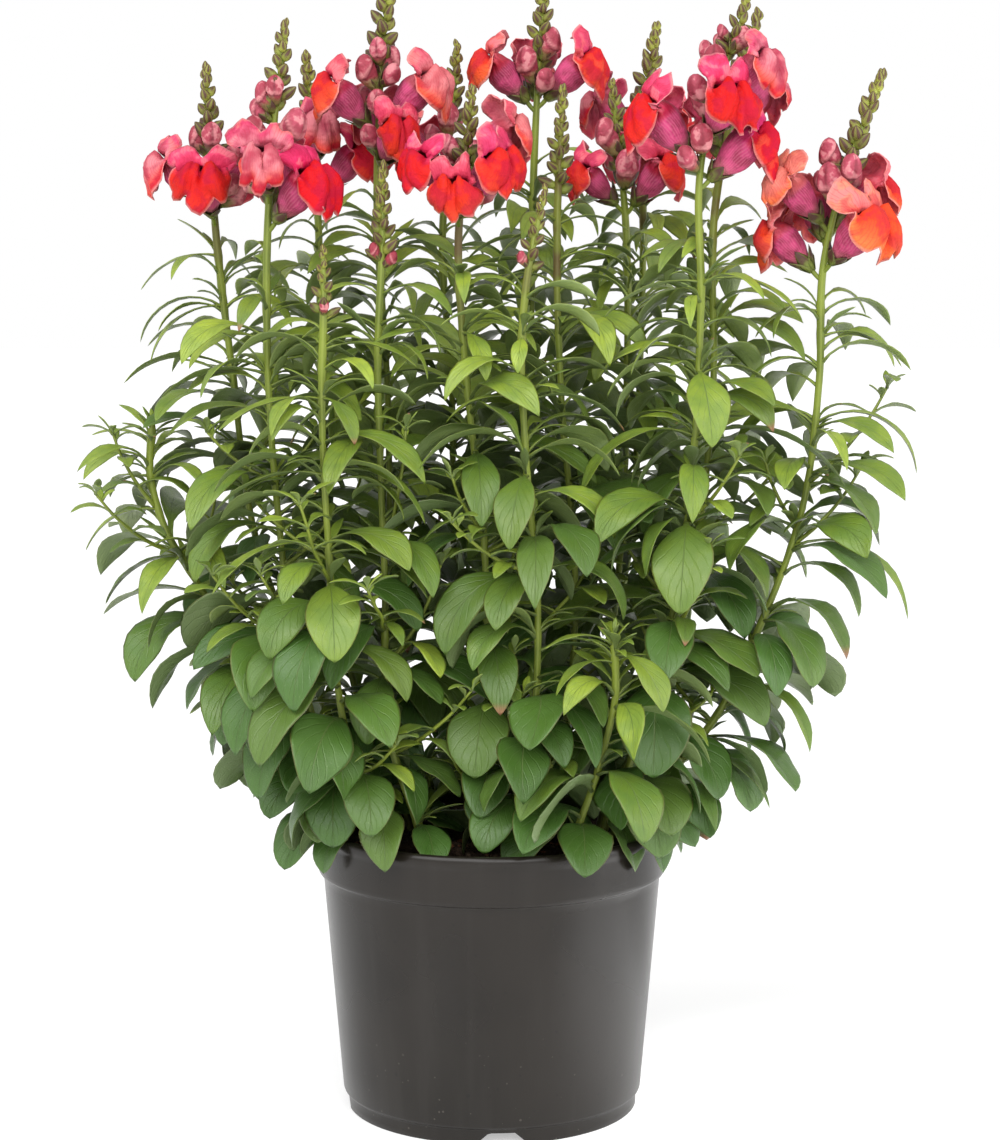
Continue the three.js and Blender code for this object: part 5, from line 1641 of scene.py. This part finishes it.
def in_the_pot(verts):
    """Whether a leaf would touch the soil or the pot's lip, or stray outside the plant."""
    away = np.linalg.norm(verts[:, :2], axis=1)
    inside, outside, top = POT_KEEP_OUT
    strays = (verts < LOW_CORNER - SPARE).any() or (verts > HIGH_CORNER + SPARE).any()
    return strays or ((verts[:, 2] < SOIL_TOP + 3) & (away < outside)).any() or (
        (verts[:, 2] < top) & (away > inside) & (away < outside)).any()


def try_leaf(stem, leaf, rows, half_columns, age, own, kind):
    """Adds a leaf if one of a few settings of it is clear."""
    for swing, lift in EXTRA_TRIES:
        tried = {**leaf, "turn": leaf["turn"] + swing, "fall": leaf["fall"] + lift}
        verts, faces = blade(Skin(), tried, rows, half_columns, age, own)
        if in_the_pot(verts):
            continue
        past_the_foot = closed_loft(verts[:-2].reshape(rows, -1, 3)[2:], end=verts[-1])
        if is_clear(bounding(*past_the_foot)):
            blade(stem["foliage"], tried, rows, half_columns, age, own)
            placed.append(bounding(verts, faces))
            ADDED[kind] += 1
            return True
    return False


def further_pairs(stem, step, twist, seed):
    """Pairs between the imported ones: a share of the way on, and turned by a twist."""
    draw = seeded_draw(stem["seed"] + seed)
    room = stem["neck"] - SOIL_TOP
    count = math.floor(room / PAIR_SPACING + 0.5)
    for k in range(count):
        for half in (0, 180):
            h = (k + PAIR_START + step + draw(-0.1, 0.1)) / count
            size = draw(0.8, 1.12)
            turn = stem["turn"] + 90 * k + twist + half + draw(-16, 16)
            wide = on_line(LEAF_WIDE, h) * size * draw(0.8, 1.15)
            rise = on_line(LEAF_RISE, h) + draw(-16, 10)
            fall = on_line(FURTHER_FALL, h) + draw(-14, 30)
            leaf = leaf_at(stem, SOIL_TOP + room * h, turn, on_line(LEAF_LONG, h) * size, wide, rise, fall,
                           draw(-40, 40), draw(-65, 65))
            faces_front = -math.sin(math.radians(leaf["turn"])) > OPEN_FRONT
            hides_stem = faces_front and h > OPEN_ABOVE and leaf["root"][1] < OPEN_BEHIND
            if h > 1 or hides_stem:
                continue
            rows, half_columns = (13, 3) if leaf["wide"] > 13 else (11, 2)
            age = leaf_age(h, leaf["wide"], draw)
            try_leaf(stem, on_smooth_line(stem, leaf), rows, half_columns, age, draw(0, 1), "pair")


def tufts(stem):
    """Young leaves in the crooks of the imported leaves."""
    draw = seeded_draw(stem["seed"] + 2500)
    for parent in stem["settled"]:
        for _ in range(2):
            long = draw(14, 34)
            turn = parent["turn"] + draw(-50, 50)
            leaf = leaf_at(stem, parent["z"] + 1.5, turn, long, long * draw(0.16, 0.26), draw(40, 70),
                           draw(-40, 25), draw(-25, 25), draw(-20, 20))
            try_leaf(stem, on_smooth_line(stem, leaf), 8, 2, draw(0, 0.5), draw(0, 1), "tuft")


TIP_LEAVES = 12


def young_tip(stem):
    """Small leaves crowded at the tip of a stem that carries no flowers."""
    draw = seeded_draw(stem["seed"] + 2700)
    for k in range(TIP_LEAVES):
        u = k / (TIP_LEAVES - 1)
        z = stem_tip(stem) - 14 * (1 - u)
        leaf = {"z": z, "root": smooth_at(stem, z), "turn": GOLDEN_TURN * k,
                "long": mix((26, 9), u) * draw(0.85, 1.15), "wide": mix((6.5, 2.6), u),
                "rise": mix((35, 75), u), "fall": mix((-30, 60), u) + draw(-12, 12),
                "curl": draw(-20, 20), "roll": draw(-20, 20)}
        try_leaf(stem, leaf, 8, 2, draw(0, 0.3), draw(0, 1), "tuft")


for stem in STEMS:
    further_pairs(stem, 0.5, 45, 2100)
print("added leaves so far:", ADDED)

# %% [markdown]
# ## Side shoots
# Lower down, some crooks have grown on into thin side shoots with small leaves of their own. They are
# what makes the plant look bushy. Each is a short bowed stem with two to four pairs and a tuft at its tip.

# %% Side shoots
SHOOT_TRIES = [(swing, tilt) for tilt in (0, 14, -16) for swing in (0, 25, -25, 50, -50)]
SHOOT_STEPS, SHOOT_SIDES = 12, 6


def shoot_path(stem, z, turn, rise, long, bends):
    """A bowed line out of a stem, steeper at each of its bends."""
    path = [smooth_at(stem, z) + heading(turn, 0)]
    for k, bend in enumerate(bends):
        path.append(path[-1] + heading(turn + bend, rise + 7 * k) * long / len(bends))
    return smooth(path, SHOOT_STEPS + 1)


def side_shoot(stem, z, turn, long, draw):
    """A thin shoot with pairs of small leaves, if a way is clear for its stem."""
    rise, bends = draw(15, 52), [draw(-8, 8) for _ in range(4)]
    sizes = (draw(34, 46), draw(16, 24))
    for swing, tilt in SHOOT_TRIES:
        centres = shoot_path(stem, z, turn + swing, rise + tilt, long, bends)
        if in_the_pot(centres):
            continue
        if is_clear(bounding(*closed_loft(rings_along(centres[2:], 1.3, SHOOT_SIDES)))):
            break
    else:
        return False
    radii = np.linspace(1.25, 0.7, SHOOT_STEPS + 1)
    verts, faces = closed_loft(rings_along(centres, radii, SHOOT_SIDES))
    notes = np.zeros((len(verts), 4))
    notes[:, 0], notes[:, 3] = 0.4, 0.1
    notes[:-2, 1] = np.tile(np.arange(SHOOT_SIDES) / SHOOT_SIDES, SHOOT_STEPS + 1)
    stem["foliage"].add(verts, faces, notes, 0.5, STALK_FINISH)
    placed.append(bounding(verts, faces))
    for k in range(4):
        leaf = {"z": z, "root": centres[-1 - k // 2], "turn": turn + 90 * k, "long": 13 - 1.5 * k,
                "wide": 4.2, "rise": 66, "fall": draw(-10, 50), "curl": draw(-20, 20), "roll": draw(-20, 20)}
        try_leaf(stem, leaf, 8, 2, 0.1, draw(0, 1), "shoot leaf")
    pairs = max(2, round(long / 16))
    for k in range(pairs):
        u = (k + 0.9) / pairs
        place = centres[min(SHOOT_STEPS, round(u * SHOOT_STEPS))]
        for half in (0, 180):
            size = mix(sizes, u) * draw(0.8, 1.15)
            leaf = {"z": z, "root": place, "turn": turn + 90 * k + half + draw(-20, 20), "long": size,
                    "wide": size * draw(0.26, 0.42), "rise": mix((20, 50), u) + draw(-10, 10),
                    "fall": mix((-78, -10), u) + draw(-15, 15), "curl": draw(-20, 20), "roll": draw(-25, 25)}
            try_leaf(stem, leaf, 10, 2, draw(0.0, 0.6), draw(0, 1), "shoot leaf")
    return True


SHOOTS_FROM, SHOOTS_TO, SHOOT_SHARE = 165, 350, 0.42  # heights, and the share of crooks with a shoot
shoots = 0
for stem in STEMS:
    draw = seeded_draw(stem["seed"] + 2900)
    for leaf in stem["settled"]:
        wanted = SHOOTS_FROM < leaf["z"] < SHOOTS_TO and draw(0, 1) < SHOOT_SHARE
        turn, long = leaf["turn"] + draw(-30, 30), draw(34, 72)
        if wanted:
            shoots += side_shoot(stem, leaf["z"] + 1, turn, long, draw)
print("side shoots:", shoots)

# %% The remaining pairs and tufts
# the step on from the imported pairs, the twist and the seed of each round
ROUNDS = ((0.25, 22, 3300), (0.75, 68, 3700), (0.12, 60, 4100), (0.62, 12, 4500), (0.88, 80, 4900))
for step, twist, seed in ROUNDS:
    for stem in STEMS:
        further_pairs(stem, step, twist, seed)
for stem in STEMS:
    tufts(stem)
    if not has_spike(stem):
        young_tip(stem)
print("added leaves:", ADDED)

# %% [markdown]
# ## Handing the plant's pieces over
# Each stem becomes up to three objects: its foliage, its green buds and sepals, and its closed blooms.
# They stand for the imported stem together, and ride on the plant's one body.

# %% Plant pieces
def hand_over(skin, name, finishes, node, slot):
    """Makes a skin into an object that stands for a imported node."""
    piece = skin.as_object(name, finishes)
    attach(piece, "root")
    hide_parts(node)
    return piece


STEM_PARTS = (("foliage", [LEAF, STEM], "leaf_green"), ("buds", [SEPAL, STEM], "leaf_green"),
              ("closed_blooms", [CLOSED], "bloom_red"))
for number, stem in enumerate(STEMS, 1):
    for part, finishes, slot in STEM_PARTS:
        if stem[part].count:
            hand_over(stem[part], f"{part}_{number:02d}", finishes, stem["node"], slot)
for node, skin in bloom_pieces:
    hand_over(skin, f"open_{node}", [PETAL], node, "bloom_red")
print("plant vertices:", sum(stem[part[0]].count for stem in STEMS for part in STEM_PARTS))

# %% [markdown]
# ## The pot
# A nursery pot is blow moulded or pressed in one skin: a rolled lip, an upright band to grip, a
# tapered wall, and a foot ring cut away in four places so that water can leave. It is a profile turned
# about the axis. The bottom of the foot ring is then raised where it is notched.

# %% The pot's profile
POT_SEGMENTS = 240
POT_PROFILE = [
    # under the floor, out to the inside of the foot ring
    (0, 6.6), (20, 6.6), (74, 6.6), (76.6, 6.2), (77.4, 5.2), (77.5, 2.6), (77.5, 0.4), (77.8, 0),
    # the foot ring's outside, a small step, and the tapered wall
    (79.0, 0), (79.5, 0.5), (79.5, 3.5), (79.6, 7.2), (79.9, 8.2), (80.9, 8.8), (81.6, 9.3), (82.0, 10.4),
    (83.4, 27), (85.3, 49), (87.2, 71), (89.0, 92), (90.8, 113), (91.9, 126), (92.2, 129.6),
    # the band and the rolled lip
    (92.6, 130.5), (93.6, 131.0), (94.5, 131.4), (94.9, 132.2), (95.0, 134), (95.1, 141), (95.2, 149.5),
    (95.4, 151.2), (95.9, 152.3), (96.0, 154), (95.9, 155.8), (95.3, 157.2), (94.4, 157.9), (93.4, 158.0),
    (92.6, 157.6), (92.2, 156.6), (92.0, 154.0),
    # down the inside to the floor
    (91.6, 148), (89.2, 120), (85.6, 77), (82.6, 40), (80.2, 12), (79.4, 9.4), (77.5, 8.6), (40, 8.6),
    (0, 8.6)]
FOOT_RADIUS, FOOT_INSIDE, FOOT_TOP = 79.5, 77.2, 7
NOTCH_TURN, NOTCH_TOP, NOTCH_BOTTOM, NOTCH_HEIGHT = -86, 14, 28, 6.2


def notch_height(turns, radius):
    """How far the foot is cut up at each turn, in millimetres."""
    away = np.abs((turns - NOTCH_TURN + 45) % 90 - 45)
    across = np.radians(away) * radius
    return NOTCH_HEIGHT * np.clip((NOTCH_BOTTOM / 2 - across) / ((NOTCH_BOTTOM - NOTCH_TOP) / 2), 0, 1)


def pot_skin():
    profile = np.array(POT_PROFILE, float)
    turns = np.arange(POT_SEGMENTS) * 360 / POT_SEGMENTS
    spoke = heading(turns, 0)
    rings = profile[1:-1, 0][:, None, None] * spoke[None] + profile[1:-1, 1][:, None, None] * UP
    cut = notch_height(turns, FOOT_RADIUS)
    is_foot = (profile[1:-1, 0] > FOOT_INSIDE) & (profile[1:-1, 1] < FOOT_TOP)
    rings[is_foot, :, 2] = np.maximum(rings[is_foot, :, 2], cut[None])
    verts, faces = closed_loft(rings, start=UP * profile[0, 1], end=UP * profile[-1, 1])
    skin = Skin()
    skin.add(verts, faces, 0.5, 0.5)
    return skin


pot = hand_over(pot_skin(), "pot", [POT_PLASTIC], "nursery_pot", "pot_plastic")

# %% Drain holes
DRAIN_RADIUS, DRAIN_CIRCLE, DRAIN_SIDES = 5, 60, 32
FLOOR_MIDDLE, DRAIN_DEPTH = 7.5, 4


def drill(piece, place, radius, depth):
    """Cuts one round hole through a piece with a boolean, and applies it."""
    angles = np.linspace(0, 360, DRAIN_SIDES, endpoint=False)
    rings = np.stack([place + heading(angles, 0) * radius + UP * z for z in (-depth, depth)])
    skin = Skin()
    skin.add(*closed_loft(rings), 0.5, 0.5)
    cutter = skin.as_object("cutter", [POT_PLASTIC])
    cut = piece.modifiers.new("drain", "BOOLEAN")
    cut.object, cut.operation, cut.solver = cutter, "DIFFERENCE", "EXACT"
    with bpy.context.temp_override(object=piece, active_object=piece, selected_objects=[piece]):
        bpy.ops.object.modifier_apply(modifier=cut.name)
    bpy.data.objects.remove(cutter)


for k in range(4):
    centre = heading(NOTCH_TURN + 90 * k, 0) * DRAIN_CIRCLE + UP * FLOOR_MIDDLE
    drill(pot, centre, DRAIN_RADIUS, DRAIN_DEPTH)
print("the pot has", len(pot.data.polygons), "faces")

# %% [markdown]
# ## The soil
# Peat settles in low waves, with crumbs of every size on top and a few bits of bark. The body is a
# turned disc whose top follows the packed soil's waves and adds smaller ones. Crumbs are rough little
# lumps, strewn by draws and half sunk.

# %% Soil body
SOIL_BUMP = 2.2
SOIL_EDGE = 90.5
SOIL_FOOT = 8.9
SOIL_SIDES, SOIL_RINGS = 160, 46


def soil_wave(x, y):
    """Height of the packed soil's waves, with finer ones on them."""
    coarse = SOIL_BUMP * np.sin(x * 0.13 + 1) * np.cos(y * 0.11)
    fine = 0.7 * np.sin(x * 0.61 + y * 0.23) * np.cos(y * 0.57 - x * 0.11)
    crumbly = 0.45 * np.sin(x * 1.7 + 2.1 * np.sin(y * 0.9)) * np.cos(y * 1.9 + 1.7 * np.sin(x * 1.1))
    return coarse + fine + crumbly


def soil_skin():
    turns = np.arange(SOIL_SIDES) * 360 / SOIL_SIDES
    spoke = heading(turns, 0)
    side = [(40, SOIL_FOOT), (79.0, SOIL_FOOT), (83.2, 50), (88.0, 105), (SOIL_EDGE, 138), (SOIL_EDGE, 143.5)]
    top = [(radius, SOIL_TOP) for radius in np.linspace(SOIL_EDGE - 2.5, 2, SOIL_RINGS)]
    rings = np.array([radius * spoke + UP * z for radius, z in side + top])
    on_top = rings[len(side):]
    fade = np.clip((SOIL_EDGE - np.linalg.norm(on_top[..., :2], axis=-1)) / 8, 0.25, 1)
    on_top[..., 2] += soil_wave(on_top[..., 0], on_top[..., 1]) * fade
    verts, faces = closed_loft(rings, start=UP * SOIL_FOOT)
    skin = Skin()
    skin.add(verts, faces, 0.5, 0.5)
    return skin


soil = soil_skin()


# %% Crumbs
CRUMBS = 760


def lump(size, squash, draw):
    """A rough little lump as rings, with its half height."""
    rows, sides = 4, 7
    u = (np.arange(rows) + 0.5) / rows
    radius = np.sin(np.pi * u) * size
    angle = 2 * np.pi * np.arange(sides) / sides
    rough = np.array([[draw(0.72, 1.2) for _ in range(sides)] for _ in range(rows)])
    x, y = np.cos(angle) * radius[:, None] * rough, np.sin(angle) * radius[:, None] * rough
    z = np.repeat(-np.cos(np.pi * u)[:, None] * size * squash, sides, axis=1)
    return np.stack([x, y, z], axis=-1), squash * size


draw = seeded_draw(77)
for _ in range(CRUMBS):
    size = 0.7 + 2.2 * draw(0, 1) ** 3
    rings, tall = lump(size, draw(0.5, 0.9), draw)
    radius, angle = math.sqrt(draw(0, 1)) * (SOIL_EDGE - 4), draw(0, 2 * math.pi)
    spin = draw(0, 6.3)
    stretch = draw(1.0, 1.9)
    x, y = rings[..., 0] * stretch, rings[..., 1].copy()
    rings[..., 0] = x * math.cos(spin) - y * math.sin(spin)
    rings[..., 1] = x * math.sin(spin) + y * math.cos(spin)
    place = np.array([radius * math.cos(angle), radius * math.sin(angle), 0])
    place[2] = SOIL_TOP + float(soil_wave(place[0], place[1])) + tall * draw(0.0, 0.5)
    verts, faces = closed_loft(rings + place, start=place - UP * tall, end=place + UP * tall)
    soil.add(verts, faces, draw(0, 1), 0.5)
hand_over(soil, "soil", [SOIL], "potting_soil", "soil")
print("soil faces:", len(soil.faces))
